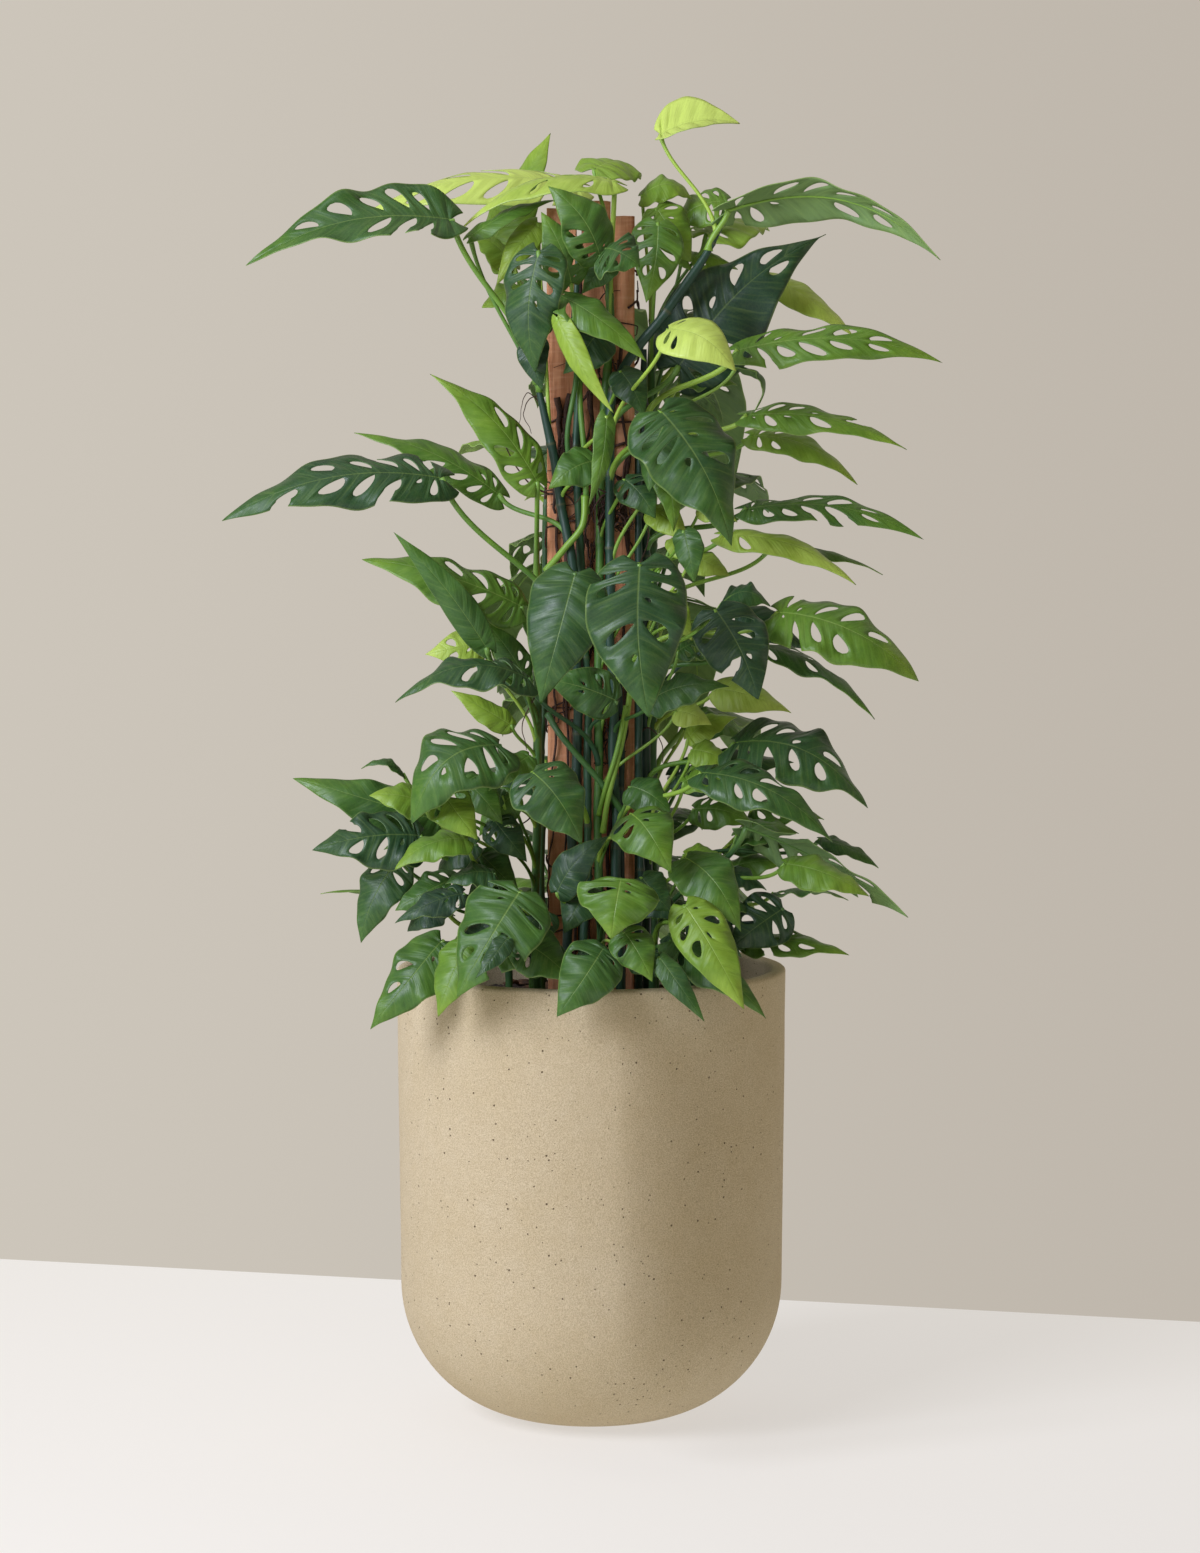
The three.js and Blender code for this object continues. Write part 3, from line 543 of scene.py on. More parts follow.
# %% Where each stem runs and how each leaf is held
STEMS = {
    "stem_front_left": {
        "radius": 5.5,
        "route": [[-26, -36, 440], [-15, -30, 713], [-18, -36, 870], [-34, -30, 962], [-58, -33, 1068]],
        "leaves": [
            [1061, -142, 1228, -60, -352, 1196, -100, 80, 0, 42, 0.08, 3, 0.15, 0, -0.24],
            [1003, -123, 1211, -42, -37, 1253, -15, 28, 0, 60, 0.08, 0, 0.5, 0],
            [1012, -54, 1225, -18, -97, 1162, -38, 32, 0, 20, 0.06, 0, 0.75, 0],
            [1053, -53, 1196, -102, -60, 1072, -94, 66, -20, 10, 0.06, 2, 0.25, 0],
            [795, -153, 966, -80, -378, 926, -110, 72, 0, 42, 0.12, 3, 0.2, 0],
            [905, -94, 949, -15, -238, 1021, -20, 48, 0, 40, 0.05, 2, 0.35, 40],
            [943, 7, 984, -75, -43, 957, -95, 48, 0, 25, 0.15, 0, 0.3, 0],
        ],
    },
    "stem_front_middle": {
        "radius": 4.5,
        "route": [[-8, -44, 440], [-3, -28, 713], [-9, -22, 880], [-14, -23, 1000], [-16, -25, 1193]],
        "leaves": [
            [1123, -20, 1163, -55, -49, 1235, -75, 50, 0, 20, 0.2, 1, 0.3, 0],
            [1105, -36, 1153, -85, 60, 1091, -110, 46, 0, 50, 0.1, 1, 0.35, 30],
            [1075, -34, 1129, -104, 18, 1031, -128, 27, -40, 20, 0.05, 0, 0.6, 0],
            [1047, 9, 1117, -62, -29, 1072, -64, 54, 0, 20, 0.1, 0, 0.2, 0],
            [973, 16, 1029, -110, -1, 936, -125, 24, 20, 10, 0.05, 0, 0.5, 0],
            [803, -16, 869, -160, -54, 735, -180, 82, -5, 20, 0.08, 0, 0.3, 0],
            [703, 26, 738, -80, -47, 761, -100, 52, 0, 10, 0.05, 2, 0.15, 0],
            [613, -60, 664, -192, -9, 590, -212, 74, 0, 40, 0.2, 1, 0.25, 0],
        ],
    },
    "stem_front_right": {
        "radius": 5,
        "route": [[10, -36, 440], [8, -27, 713], [9, -19, 960], [18, -19, 1100], [20, -24, 1209]],
        "leaves": [
            [1146, 24, 1266, -34, -138, 1226, -32, 58, 0, 68, 0.12, 2, 0.85, 0],
            [1163, 9, 1192, -70, -43, 1262, -80, 58, 0, 25, 0.15, 2, 0.38, 0],
            [1153, 16, 1199, -88, 50, 1183, -105, 62, 0, 35, 0.15, 2, 0.28, 0],
            [1107, 20, 1188, -40, -10, 1153, -44, 32, 0, 20, 0.1, 0, 0.25, 0],
            [1206, 3, 1279, -8, 51, 1271, 60, 66, 0, 60, 0.15, 0, 0.7, 0],
            [573, 42, 621, -165, 83, 560, -200, 66, 0, 35, 0.25, 1, 0.35, 0],
            [813, 50, 878, -190, 60, 720, -212, 104, 5, 15, 0.06, 3, 0.15, 0],
            [673, -65, 761, -115, -201, 745, -145, 66, 0, 60, 0.2, 2, 0.15, 0],
        ],
    },
    "stem_leaning": {
        "radius": 5.5,
        "route": [
            [30, -44, 440], [23, -30, 713], [18, -33, 960], [23, -34, 1050], [42, -36, 1092],
            [76, -38, 1135], [113, -33, 1185], [132, -30, 1219],
        ],
        "leaves": [
            [1195, 140, 1238, -35, 357, 1192, -60, 60, 0, 132, 0.17, 3, 0.4, 0],
            [1211, 70, 1314, -20, 151, 1326, -25, 80, 0, 60, 0.1, 0, 1, 0, -0.28],
            [1013, 89, 1079, -20, 239, 1216, 20, 112, 0, 15, 0.08, 3, 0.05, 0],
            [963, 71, 1034, -130, 148, 901, -160, 102, 10, 25, 0.12, 2, 0.3, 0],
            [963, 79, 1029, -70, 59, 952, -85, 58, -30, 10, 0.08, 0, 0.15, 0],
            [873, 71, 981, -55, 86, 912, -70, 30, 20, 10, 0.1, 0, 0.4, 0],
            [753, 128, 831, -105, 172, 739, -130, 74, 0, 25, 0.1, 3, 0.15, 0],
            [703, 61, 739, -95, 141, 754, -115, 48, 0, 40, 0.12, 0, 0.15, 0],
            [613, 114, 664, -112, 252, 602, -140, 62, 0, 50, 0.15, 2, 0.15, 0],
            [1003, 79, 1117, -125, 148, 1076, -150, 62, 0, 40, 0.18, 1, 0.95, 0],
        ],
    },
    "stem_right": {
        "radius": 5.5,
        "route": [[58, -6, 440], [56, -4, 713], [54, -4, 1098]],
        "leaves": [
            [1023, 150, 1096, -62, 359, 1098, -66, 58, 0, 52, 0.08, 3, 0.4, 50],
            [1003, 148, 1079, -32, 171, 1035, -42, 32, 90, 45, 0.4, 0, 0.4, 0],
            [993, 159, 1030, -20, 323, 998, -40, 46, 0, 48, 0.1, 3, 0.6, 0],
            [893, 159, 935, -30, 342, 917, -40, 48, 0, 60, 0.06, 3, 0.45, 45],
            [863, 135, 908, -50, 273, 862, -70, 46, 0, 60, 0.08, 1, 0.7, 0],
            [843, 95, 912, -82, 105, 859, -92, 32, -20, 10, 0.1, 0, 0.2, 0],
            [783, 192, 829, -60, 340, 768, -80, 84, 0, 50, 0.16, 3, 0.5, 0],
            [793, 135, 839, -62, 184, 836, -70, 46, 0, 50, 0.35, 0, 0.2, 0],
            [753, 164, 797, -52, 298, 732, -60, 44, 0, 68, 0.06, 2, 0.35, 0],
            [653, 148, 695, -60, 287, 636, -95, 104, 0, 50, 0.2, 3, 0.25, 0],
        ],
    },
    "stem_back_right": {
        "radius": 5,
        "route": [[66, 24, 440], [64, 22, 773], [60, 22, 1133]],
        "leaves": [
            [1069, 117, 1214, 25, 182, 1225, 95, 76, 0, 70, 0.1, 1, 0.7, 0],
            [1103, 138, 1247, 15, 79, 1220, 25, 52, 0, 40, 0.12, 1, 0.45, 0],
            [1125, 52, 1253, 14, 103, 1249, 18, 44, 0, 50, 0.3, 0, 0.5, 0],
            [1064, 66, 1240, -5, 102, 1186, -12, 50, 0, 20, 0.1, 1, 0.5, 0],
            [1085, 68, 1225, -34, 56, 1144, -47, 56, 0, 10, 0.06, 2, 0.4, 0],
            [1037, 179, 1170, 45, 269, 1113, 40, 44, 0, 50, 0.1, 0, 0.85, 0],
            [963, 164, 1010, 15, 275, 966, 10, 42, 0, 50, 0.1, 1, 0.5, 0],
            [823, 184, 897, 30, 300, 875, 25, 32, 0, 75, 0.05, 0, 0.3, 0],
            [733, 156, 831, 5, 222, 792, -5, 44, 0, 40, 0.1, 0, 0.15, 0],
            [703, 128, 751, -20, 206, 731, -35, 48, 0, 40, 0.12, 0, 0.75, 0],
            [623, 86, 660, 2, 208, 681, 10, 52, 0, 40, 0.1, 1, 0.15, 0],
            [573, 106, 627, -10, 169, 612, -20, 46, 0, 40, 0.1, 1, 0.45, 0],
            [490, 160, 608, -50, 331, 522, -80, 56, 0, 130, 0.06, 3, 0.35, 0],
        ],
        "behind": {
            "count": 5, "lowest": 600, "pitch": 122, "facing": 22,
            "fan": 12, "reach": 96, "drop": 0.42, "uneven": 0.9,
        },
    },
    "stem_left": {
        "radius": 5,
        "route": [[-60, 4, 440], [-56, 4, 713], [-54, 0, 913]],
        "leaves": [
            [863, -55, 962, -60, -160, 1076, -64, 56, 0, 40, 0.06, 2, 0.4, 0],
            [773, -72, 835, -70, -230, 893, -88, 68, 0, 45, 0.1, 2, 0.35, 0],
            [713, -107, 792, -102, -202, 910, -118, 34, -20, 20, 0.05, 0, 0.2, 0],
            [688, -112, 797, -35, -170, 787, -45, 46, 0, 20, 0.1, 2, 0.7, 0],
            [693, -68, 763, -50, -109, 821, -60, 34, 0, 20, 0.05, 1, 0.25, 0],
            [673, -82, 713, -20, -142, 751, -25, 32, 0, 40, 0.05, 0, 0.6, 0],
            [633, -94, 692, -145, -187, 616, -180, 92, 0, 45, 0.28, 2, 0.2, 0],
            [613, -63, 681, -118, -106, 647, -138, 36, 0, 40, 0.15, 0, 0.45, 0],
            [603, -130, 656, -90, -91, 612, -105, 40, 0, 20, 0.1, 1, 0.25, 0],
        ],
    },
    "stem_back_left": {
        "radius": 5.5,
        "route": [[-36, 44, 440], [-34, 42, 813], [-30, 40, 1163]],
        "leaves": [
            [1133, -15, 1264, 62, -246, 1240, 30, 84, 0, 58, 0.1, 3, 0.9, 0],
            [1123, -102, 1202, 108, -46, 1319, 112, 55, -30, 10, 0.05, 0, 0.45, 0],
        ],
        "behind": {
            "count": 4, "lowest": 640, "pitch": 118, "facing": -14,
            "fan": 12, "reach": 92, "drop": 0.42, "uneven": 0.9,
        },
    },
    "stem_back_middle": {
        "radius": 5.5,
        "route": [[2, 48, 440], [0, 44, 813], [4, 42, 1183]],
        "leaves": [],
        "behind": {
            "count": 5, "lowest": 690, "pitch": 116, "facing": 4,
            "fan": 14, "reach": 100, "drop": 0.42, "uneven": 0.9,
        },
    },
    "shoot_back": {
        "radius": 4.5,
        "route": [[8, 112, 440], [10, 118, 545]],
        "leaves": [],
        "behind": {
            "count": 5, "lowest": 520, "pitch": 14, "facing": 0,
            "fan": 78, "reach": 70, "drop": 0.46, "uneven": 0.2,
        },
    },
    "shoot_left": {
        "radius": 4.5,
        "route": [[-84, -24, 440], [-88, -28, 585]],
        "leaves": [
            [539, -176, 599, -105, -287, 584, -130, 74, 0, 35, 0.1, 2, 0.2, 0],
            [561, -172, 633, -125, -227, 642, -140, 42, 0, 40, 0.15, 0, 0.6, 0],
            [579, -156, 648, -150, -116, 594, -170, 50, 0, 30, 0.15, 1, 0.6, 0],
            [519, -129, 596, -140, -203, 566, -155, 46, 0, 60, 0.12, 0, 0.4, 0],
            [503, -197, 576, -95, -241, 490, -110, 52, -20, 20, 0.08, 1, 0.3, 0],
            [489, -140, 555, -120, -202, 522, -135, 46, 0, 40, 0.1, 1, 0.2, 0],
            [571, -193, 663, -95, -236, 669, -105, 18, 0, 60, 0.3, 0, 0.3, 0],
            [549, -156, 614, -60, -304, 663, -80, 56, 0, 30, 0.08, 0, 0.4, 0],
            [475, -149, 522, -50, -277, 548, -75, 32, 0, 100, 0.06, 0, 0.45, 0],
        ],
    },
    "shoot_front_left": {
        "radius": 4.5,
        "route": [[-54, -84, 440], [-58, -92, 513]],
        "leaves": [
            [507, -73, 541, -200, -139, 432, -232, 90, -5, 30, 0.12, 3, 0.3, 0],
            [488, -128, 487, -195, -160, 412, -215, 50, -20, 20, 0.08, 0, 0.5, 0],
            [495, -73, 490, -186, -19, 450, -198, 56, 0, 40, 0.12, 1, 0.3, 0],
            [493, -154, 490, -150, -229, 399, -172, 64, 0, 40, 0.12, 2, 0.42, 0],
            [498, -132, 539, -165, -203, 512, -180, 38, 0, 45, 0.12, 1, 0.05, 0],
            [465, -86, 492, -236, -119, 450, -256, 24, 0, 30, 0.1, 0, 0.2, 0],
        ],
    },
    "shoot_front": {
        "radius": 4.5,
        "route": [[8, -96, 440], [10, -100, 525]],
        "leaves": [
            [501, 31, 554, -205, 21, 493, -238, 84, 0, 35, 0.15, 1, 0.45, 0],
            [473, 13, 482, -212, -35, 411, -240, 62, 0, 20, 0.15, 1, 0.35, 0],
            [487, 34, 499, -210, 64, 448, -226, 46, 0, 30, 0.1, 1, 0.45, 0],
            [517, -35, 540, -150, 16, 599, -160, 40, -10, 20, 0.1, 0, 0.1, 0],
        ],
    },
    "shoot_front_right": {
        "radius": 4.5,
        "route": [[62, -80, 440], [64, -84, 553]],
        "leaves": [
            [538, 97, 576, -150, 155, 500, -190, 62, 0, 35, 0.2, 0, 0.35, 0],
            [498, 97, 526, -200, 159, 420, -232, 56, 0, 20, 0.08, 2, 0.6, 0],
            [483, 83, 490, -165, 184, 414, -190, 52, 0, 50, 0.12, 1, 0.35, 0],
            [475, 71, 472, -212, 118, 406, -232, 26, 0, 30, 0.1, 0, 0.25, 0],
        ],
    },
    "shoot_right": {
        "radius": 4.5,
        "route": [[104, -20, 440], [108, -24, 579]],
        "leaves": [
            [541, 200, 570, -95, 288, 542, -110, 48, 0, 50, 0.12, 0, 0.5, 0],
            [527, 141, 566, -8, 205, 574, -10, 34, 0, 50, 0.1, 0, 0.35, 0],
            [493, 198, 524, -60, 142, 482, -75, 62, 0, 10, 0.08, 2, 0.1, 0],
            [513, 188, 540, -10, 265, 540, -20, 36, 0, 90, 0.08, 1, 0.3, 0],
            [478, 160, 490, -35, 266, 480, -60, 46, 0, 60, 0.1, 2, 0.45, 0],
            [569, 236, 596, -20, 298, 571, -30, 26, 0, 60, 0.1, 0, 0.3, 0],
            [509, 139, 586, -4, 211, 591, -8, 26, 0, 60, 0.08, 0, 0.2, 0],
        ],
    },
}
print("stems and shoots:", len(STEMS), "rows of leaves:", sum(len(s["leaves"]) for s in STEMS.values()))

# %% [markdown]
# ## How a leaf is framed
#
# A blade has three directions of its own: along its midrib, across it, and off its face. Rows
# give the ends of the midrib and where the face looks, and the rest follows. Leaves on the far
# side follow a rule: they climb the stem at an even pitch and differ in reach, length and droop.
# Every leaf then draws how its tip hangs, how its midrib bows and how its tip narrows.

# %% Frames for the leaves
EYE = {"distance": 4000, "height": 983}
FAR_LEAF = {
    "climb": 70, "above_foot": 20, "length": 140, "longer": 80, "slimness": 0.46, "arch": 0.12,
    "rise": 60, "turning": 40,
}
ROW = (
    "leaves_stem_at", "bx", "bz", "by", "tx", "tz", "ty",
    "width", "turn", "rise", "arch", "holes", "age", "twist", "fold",
)


def seen_at(x, z, y):
    """A point of the upright plane through the axis, moved along the line of sight to depth y."""
    nearer = (EYE["distance"] + y) / EYE["distance"]
    return np.array([x * nearer, y, EYE["height"] + (z - EYE["height"]) * nearer])


def framed(leaf, base, tip, turn, rise):
    """along = tip - base; up = the way the face looks, less its part along; side = up x along."""
    length = np.linalg.norm(tip - base)
    along = (tip - base) / length
    t, r = np.radians(turn), np.radians(rise)
    looks = np.array([np.sin(t) * np.cos(r), -np.cos(t) * np.cos(r), np.sin(r)])
    up = unit(looks - along * (looks @ along))
    side = np.cross(up, along)
    return {**leaf, "base": base, "length": length, "along": along, "up": up, "side": side}


def leaf_from_row(row):
    leaf = dict(zip(ROW, row))
    base = seen_at(leaf["bx"], leaf["bz"], leaf["by"])
    return framed(leaf, base, seen_at(leaf["tx"], leaf["tz"], leaf["ty"]), leaf["turn"], leaf["rise"])


def leaf_behind(stem, index):
    """A leaf of the far side. Shares of the index times an odd step spread each measure evenly."""
    rule = stem["behind"]
    spread = lambda step: (index * step) % 1
    bearing = rule["facing"] + rule["fan"] * (2 * spread(0.618) - 1)
    height = rule["lowest"] + index * rule["pitch"]
    fall = rule["drop"] + rule["uneven"] * (spread(0.414) - 0.5)
    length = (FAR_LEAF["length"] + FAR_LEAF["longer"] * spread(0.732)) * rule.get("size", 1)
    away = np.array([np.sin(np.radians(bearing)), np.cos(np.radians(bearing)), 0])
    base = np.array([*stem["route"][1][:2], height]) + away * rule["reach"] * (0.6 + 0.7 * spread(0.549))
    tip = base + away * length * np.sqrt(1 - fall * fall) - np.array([0, 0, length * fall])
    leaf = {
        "leaves_stem_at": max(height - FAR_LEAF["climb"], stem["route"][0][2] + FAR_LEAF["above_foot"]),
        "width": length * FAR_LEAF["slimness"],
        "arch": FAR_LEAF["arch"],
        "holes": 3 - index % 3,
        "age": 0.15 + 0.5 * spread(0.381),
        "twist": 0,
    }
    turn = 180 - bearing + FAR_LEAF["turning"] * (spread(0.467) - 0.5)
    return framed(leaf, base, tip, turn, FAR_LEAF["rise"])


# %% Leaves from rows, from rules and from chance
DRAWN = {"limp": (0, 0.11), "sickle": (-0.06, 0.06), "chance": (0, 1), "taper": (0.1, 0.5)}
SLIM_TIPS = {(3, 2): 0.8}  # the long leaf of the leaning stem, by number of stem and of leaf
VERY_OLD = 0.1


def leaves_of(stem, number):
    """All leaves of a stem, each with its own small differences, drawn from its own seed. Only
    the very old ones keep their age, so that the darkest leaves stay where the table has them."""
    behind = range(stem.get("behind", {}).get("count", 0))
    leaves = [leaf_from_row(row) for row in stem["leaves"]] + [leaf_behind(stem, i) for i in behind]
    for index, leaf in enumerate(leaves):
        draw = np.random.default_rng([9, number, index])
        leaf.update({name: draw.uniform(low, high) for name, (low, high) in DRAWN.items()})
        leaf["twist"] += draw.uniform(-12, 12)
        leaf["age"] = min(leaf["age"] + (leaf["age"] > VERY_OLD) * draw.uniform(-0.08, 0.15), 1)
        leaf["taper"] = SLIM_TIPS.get((number, index), leaf["taper"])
    return leaves


print("leaves in all:", sum(len(leaves_of(stem, 0)) for stem in STEMS.values()))

# %% [markdown]
# ## The blade
#
# A blade is one sheet over two parameters. One counts the side veins from the petiole to the
# tip; the other leaves the midrib at 0 and meets a margin at 1 or -1. Side veins sweep towards
# the tip, the halves fold down from the midrib, the margin waves, and the skin swells between
# the veins like a quilt. The holes of the real leaf lie between side veins. In each bay the
# grid's rings are pulled from the bay's square edge to an egg, and the cells inside are left
# out, so a hole has a smooth rim and its neighbours keep their corners.

# %% The blade's surface
BLADE = {
    "lobe": 0.07, "vein": 2.15, "edge": 1.3, "sweep": 1.15, "fold": 0.28, "wave": 0.075, "quilt": 0.03,
}
BAY = {"cells_along": 8, "cells_across": 10, "hole_along": 4, "hole_across": 6}
BAYS = {"fewest": 5, "one_more_from": (80, 120, 170)}
HOLES = {"last_bay": (0, 2, 4, 6), "torn": (0, 0, 0.06, 0.17), "torn_from": 100, "slim": 0.6}


def half_width(u, taper=0.0):
    """Half the blade's width at vein u, as a share of its widest place: a sine that leans
    towards the petiole, drawn in towards the tip by a share that grows as u^3."""
    return np.sin(np.pi * (0.05 + 0.95 * u) ** 0.88) ** 0.82 * (1 - taper * u**3 - 0.2 * u**10)


def on_blade(leaf, u, v, swell=0.0, lift=0.0):
    """Point = base + a length along + across side + (arch + wave - fold) up, where a goes from
    u^vein on the midrib to the margin's own curve as |v|^sweep. A twist grows as a squared, the
    tip hangs as a cubed, and the midrib bows sideways like a sickle."""
    width, length, out = leaf["width"], leaf["length"], np.abs(v)
    on_midrib = u ** BLADE["vein"]
    on_margin = (1 + BLADE["lobe"]) * u ** BLADE["edge"] - BLADE["lobe"]
    a = on_midrib + (on_margin - on_midrib) * out ** BLADE["sweep"]
    across = v * half_width(u, leaf["taper"]) * width * 0.5
    drop = leaf.get("fold", BLADE["fold"]) * np.abs(across) * out**0.5
    side = np.sign(v)
    ripple = np.sin(13 * a + 2.1 * side + length) + 0.5 * np.sin(27 * a + 4.3 * side + 1.7 * length)
    lively = BLADE["wave"] * (1.1 - leaf["age"] ** 2) * width * half_width(u) * v * v
    off = lively * ripple - drop + lift + BLADE["quilt"] * width * swell
    twist = np.radians(leaf["twist"]) * a * a
    sideways = across * np.cos(twist) - off * np.sin(twist) + leaf["sickle"] * length * np.sin(np.pi * a)
    upwards = across * np.sin(twist) + off * np.cos(twist)
    upwards += length * (4 * leaf["arch"] * a * (1 - a) - leaf["limp"] * np.abs(a) ** 3)
    return (
        leaf["base"]
        + (a * length)[..., None] * leaf["along"]
        + sideways[..., None] * leaf["side"]
        + upwards[..., None] * leaf["up"]
    ), a, across


# %% Holes between the veins
def ring_of(place, cut):
    """Which ring a grid line is on: 0 in the middle, 0.5 at the hole's edge, 1 at the bay's."""
    out = np.abs(place)
    return np.where(out < cut, 0.5 * out / cut, 0.5 + 0.5 * (out - cut) / (1 - cut))


def place_of(ring, cut):
    return np.where(ring < 0.5, ring * 2 * cut, cut + (ring - 0.5) * 2 * (1 - cut))


def pulled_to_hole(p, q, hole):
    """Moves a bay's points, p along and q across from -1 to 1, towards an egg-shaped hole."""
    cut_p, cut_q = BAY["hole_along"] / BAY["cells_along"], BAY["hole_across"] / BAY["cells_across"]
    rp, rq = ring_of(p, cut_p), ring_of(q, cut_q)
    ring = np.maximum(np.maximum(rp, rq), 1e-6)
    edge_p, edge_q = np.sign(p) * place_of(rp / ring, cut_p), np.sign(q) * place_of(rq / ring, cut_q)
    turn = np.arctan2(np.sign(q) * rq, np.sign(p) * rp)
    narrow = 0.84 * (1 + np.sin(turn)) ** 0.4
    egg_p = hole["p"] + hole["half_p"] * np.cos(turn) * narrow + hole["slant"] * np.sin(turn)
    egg_q = hole["q"] + hole["half_q"] * np.sin(turn)
    share = np.clip(2 * ring - 1, 0, 1)
    inside = hole["open"] & (ring < 0.999)
    split = hole["split"] & (np.abs(p) < cut_p - 0.01) & (q > 0)
    return (
        np.where(inside, egg_p + (edge_p - egg_p) * share, p),
        np.where(inside, egg_q + (edge_q - egg_q) * share, q),
        hole["open"] & ((ring < 0.499) | split),
    )


def holes_of(leaf, bays, draw):
    """One hole for each bay and half of a pierced leaf: long ones that follow the veins, with a
    sharp end at the midrib, some small ones close to it, and now and then none. In the most
    pierced leaves some holes have torn open at the margin."""
    shape = (bays, 2)
    bay = np.arange(bays)[:, None]
    pierced = (bay >= 1) & (bay <= min(HOLES["last_bay"][leaf["holes"]], bays - 2))
    kind = draw.random(shape)
    small = kind < 0.27
    either = lambda few, most: np.where(small, draw.uniform(*few, shape), draw.uniform(*most, shape))
    q = either((-0.66, -0.4), (-0.22, 0.1))
    half_q = either((0.12, 0.24), (0.42, 0.76))
    half_p = either((0.2, 0.36), (0.42, 0.7))
    torn = ~small & (draw.random(shape) < HOLES["torn"][leaf["holes"]])
    return {
        "open": pierced & (kind > 0.13),
        "split": torn & (leaf["length"] > HOLES["torn_from"]) & (leaf["taper"] < HOLES["slim"]),
        "p": draw.uniform(-0.1, 0.1, shape),
        "q": q,
        "half_p": half_p,
        "half_q": np.minimum(half_q, np.minimum(0.93 + q, 0.84 - q)),
        "slant": draw.uniform(-0.02, 0.14, shape),
    }


# %% A whole blade
def blade_grid(leaf, draw):
    """The whole blade as one grid: all bays along it, both halves across it."""
    bays = BAYS["fewest"] + sum(leaf["length"] >= length for length in BAYS["one_more_from"])
    along, across = BAY["cells_along"], BAY["cells_across"]
    i, j = np.meshgrid(np.arange(bays * along + 1), np.arange(-across, across + 1), indexing="ij")
    bay, half = np.minimum(i // along, bays - 1), (j > 0).astype(int)
    hole = {name: values[bay, half] for name, values in holes_of(leaf, bays, draw).items()}
    p, q, inside = pulled_to_hole(2 * (i / along - bay) - 1, 2 * np.abs(j) / across - 1, hole)
    u, v = (bay + (p + 1) / 2) / bays, np.sign(j) * (q + 1) / 2
    swell = (1 - p * p) * np.sin(np.pi * np.abs(v) ** 0.8) * (1 - u**4)
    points, a, aside = on_blade(leaf, u, v, swell)
    hollow = inside[:-1, :-1] | inside[1:, 1:] | inside[:-1, 1:] | inside[1:, :-1]
    maps = {"veins": (bay + (p + 1) / 2, v), "blade": (a * leaf["length"] * MM, aside * MM)}
    return grid(points, keep=~hollow, uv=maps, tone=leaf["age"], along=a, chance=leaf["chance"])


trial = blade_grid(leaves_of(STEMS["stem_front_right"], 2)[6], np.random.default_rng(1))
print("faces of one large blade:", len(trial["quads"]))

# %% [markdown]
# ## Stalks
#
# A petiole grows up out of the stem, bends over and meets the blade at a swollen knee; the
# midrib runs on from it under the blade to the tip. Carrying a round section along that path
# gives both in one tube. Stems are tubes too, with a ring at each joint where a leaf once sat.

# %% Stems
STEM = {"foot": 350, "step": 3.0, "joint": 78, "wander": 2.2, "free_above": 450, "tip": 60}
PETIOLE = {"lean": 0.12, "rise": 0.28, "droop": 0.35}


def curve_through(points, steps):
    """Centripetal Catmull-Rom spline: between two points the tangents weigh the neighbouring
    chords by the square root of their lengths, so that it never loops at a sharp turn."""
    p = np.array(points, float)
    p = np.concatenate([[2 * p[0] - p[1]], p, [2 * p[-1] - p[-2]]])
    step = np.sqrt(np.linalg.norm(np.diff(p, axis=0), axis=1))[:, None]
    rate = np.diff(p, axis=0) / step
    joint = (p[2:] - p[:-2]) / (step[:-1] + step[1:])
    tangent = rate[:-1] - joint + rate[1:]
    t = np.linspace(0, 1, steps, endpoint=False)[None, :, None]
    a, b = p[1:-2, None], p[2:-1, None]
    ta, tb = ((rate * step[1:-1])[:, None] for rate in (tangent[:-1], tangent[1:]))
    from_a = (2 * t**3 - 3 * t**2 + 1) * a + (t**3 - 2 * t**2 + t) * ta
    spans = from_a + (3 * t**2 - 2 * t**3) * b + (t**3 - t**2) * tb
    return np.concatenate([spans.reshape(-1, 3), p[-2:-1]])


def stem_path(stem, seed):
    """The stem's middle in even steps of its length, with a slow wander above the soil."""
    x, y = stem["route"][0][:2]
    path = curve_through([[x, y, STEM["foot"]], *stem["route"]], 60)
    length = np.concatenate([[0], np.cumsum(np.linalg.norm(np.diff(path, axis=0), axis=1))])
    even = np.arange(0, length[-1], STEM["step"])
    path = np.stack([np.interp(even, length, path[:, k]) for k in range(3)], axis=1)
    freed = np.clip((path[:, 2] - STEM["free_above"]) / 60, 0, 1) * STEM["wander"]
    for k in (0, 1):
        path[:, k] += freed * smooth_noise(path[:, 2] / 62, 7.5 * k + 3, seed)
    return path


def stem_grid(stem, path, seed, tone):
    """radius = stem (1 + a ring at each joint + a slight swelling between joints), and thinner
    at the tip."""
    length = np.arange(len(path)) * STEM["step"]
    phase = (length / STEM["joint"] + 0.3 * smooth_noise(length / 110, 2.5, seed) + 0.137 * seed) % 1
    ring = np.exp(-(((phase - 0.5) * STEM["joint"] / 2.6) ** 2))
    radius = stem["radius"] * (0.86 + 0.17 * ring + 0.04 * np.cos(2 * np.pi * phase))
    radius *= 1 - 0.45 * np.clip((length - length[-1] + STEM["tip"]) / STEM["tip"], 0, 1)
    return tube(path, radius, [0, 1, 0], sides=14, tone=tone, joint=ring, knee=0.0)


def on_stem(path, height):
    return np.array([np.interp(height, path[:, 2], path[:, k]) for k in range(3)])


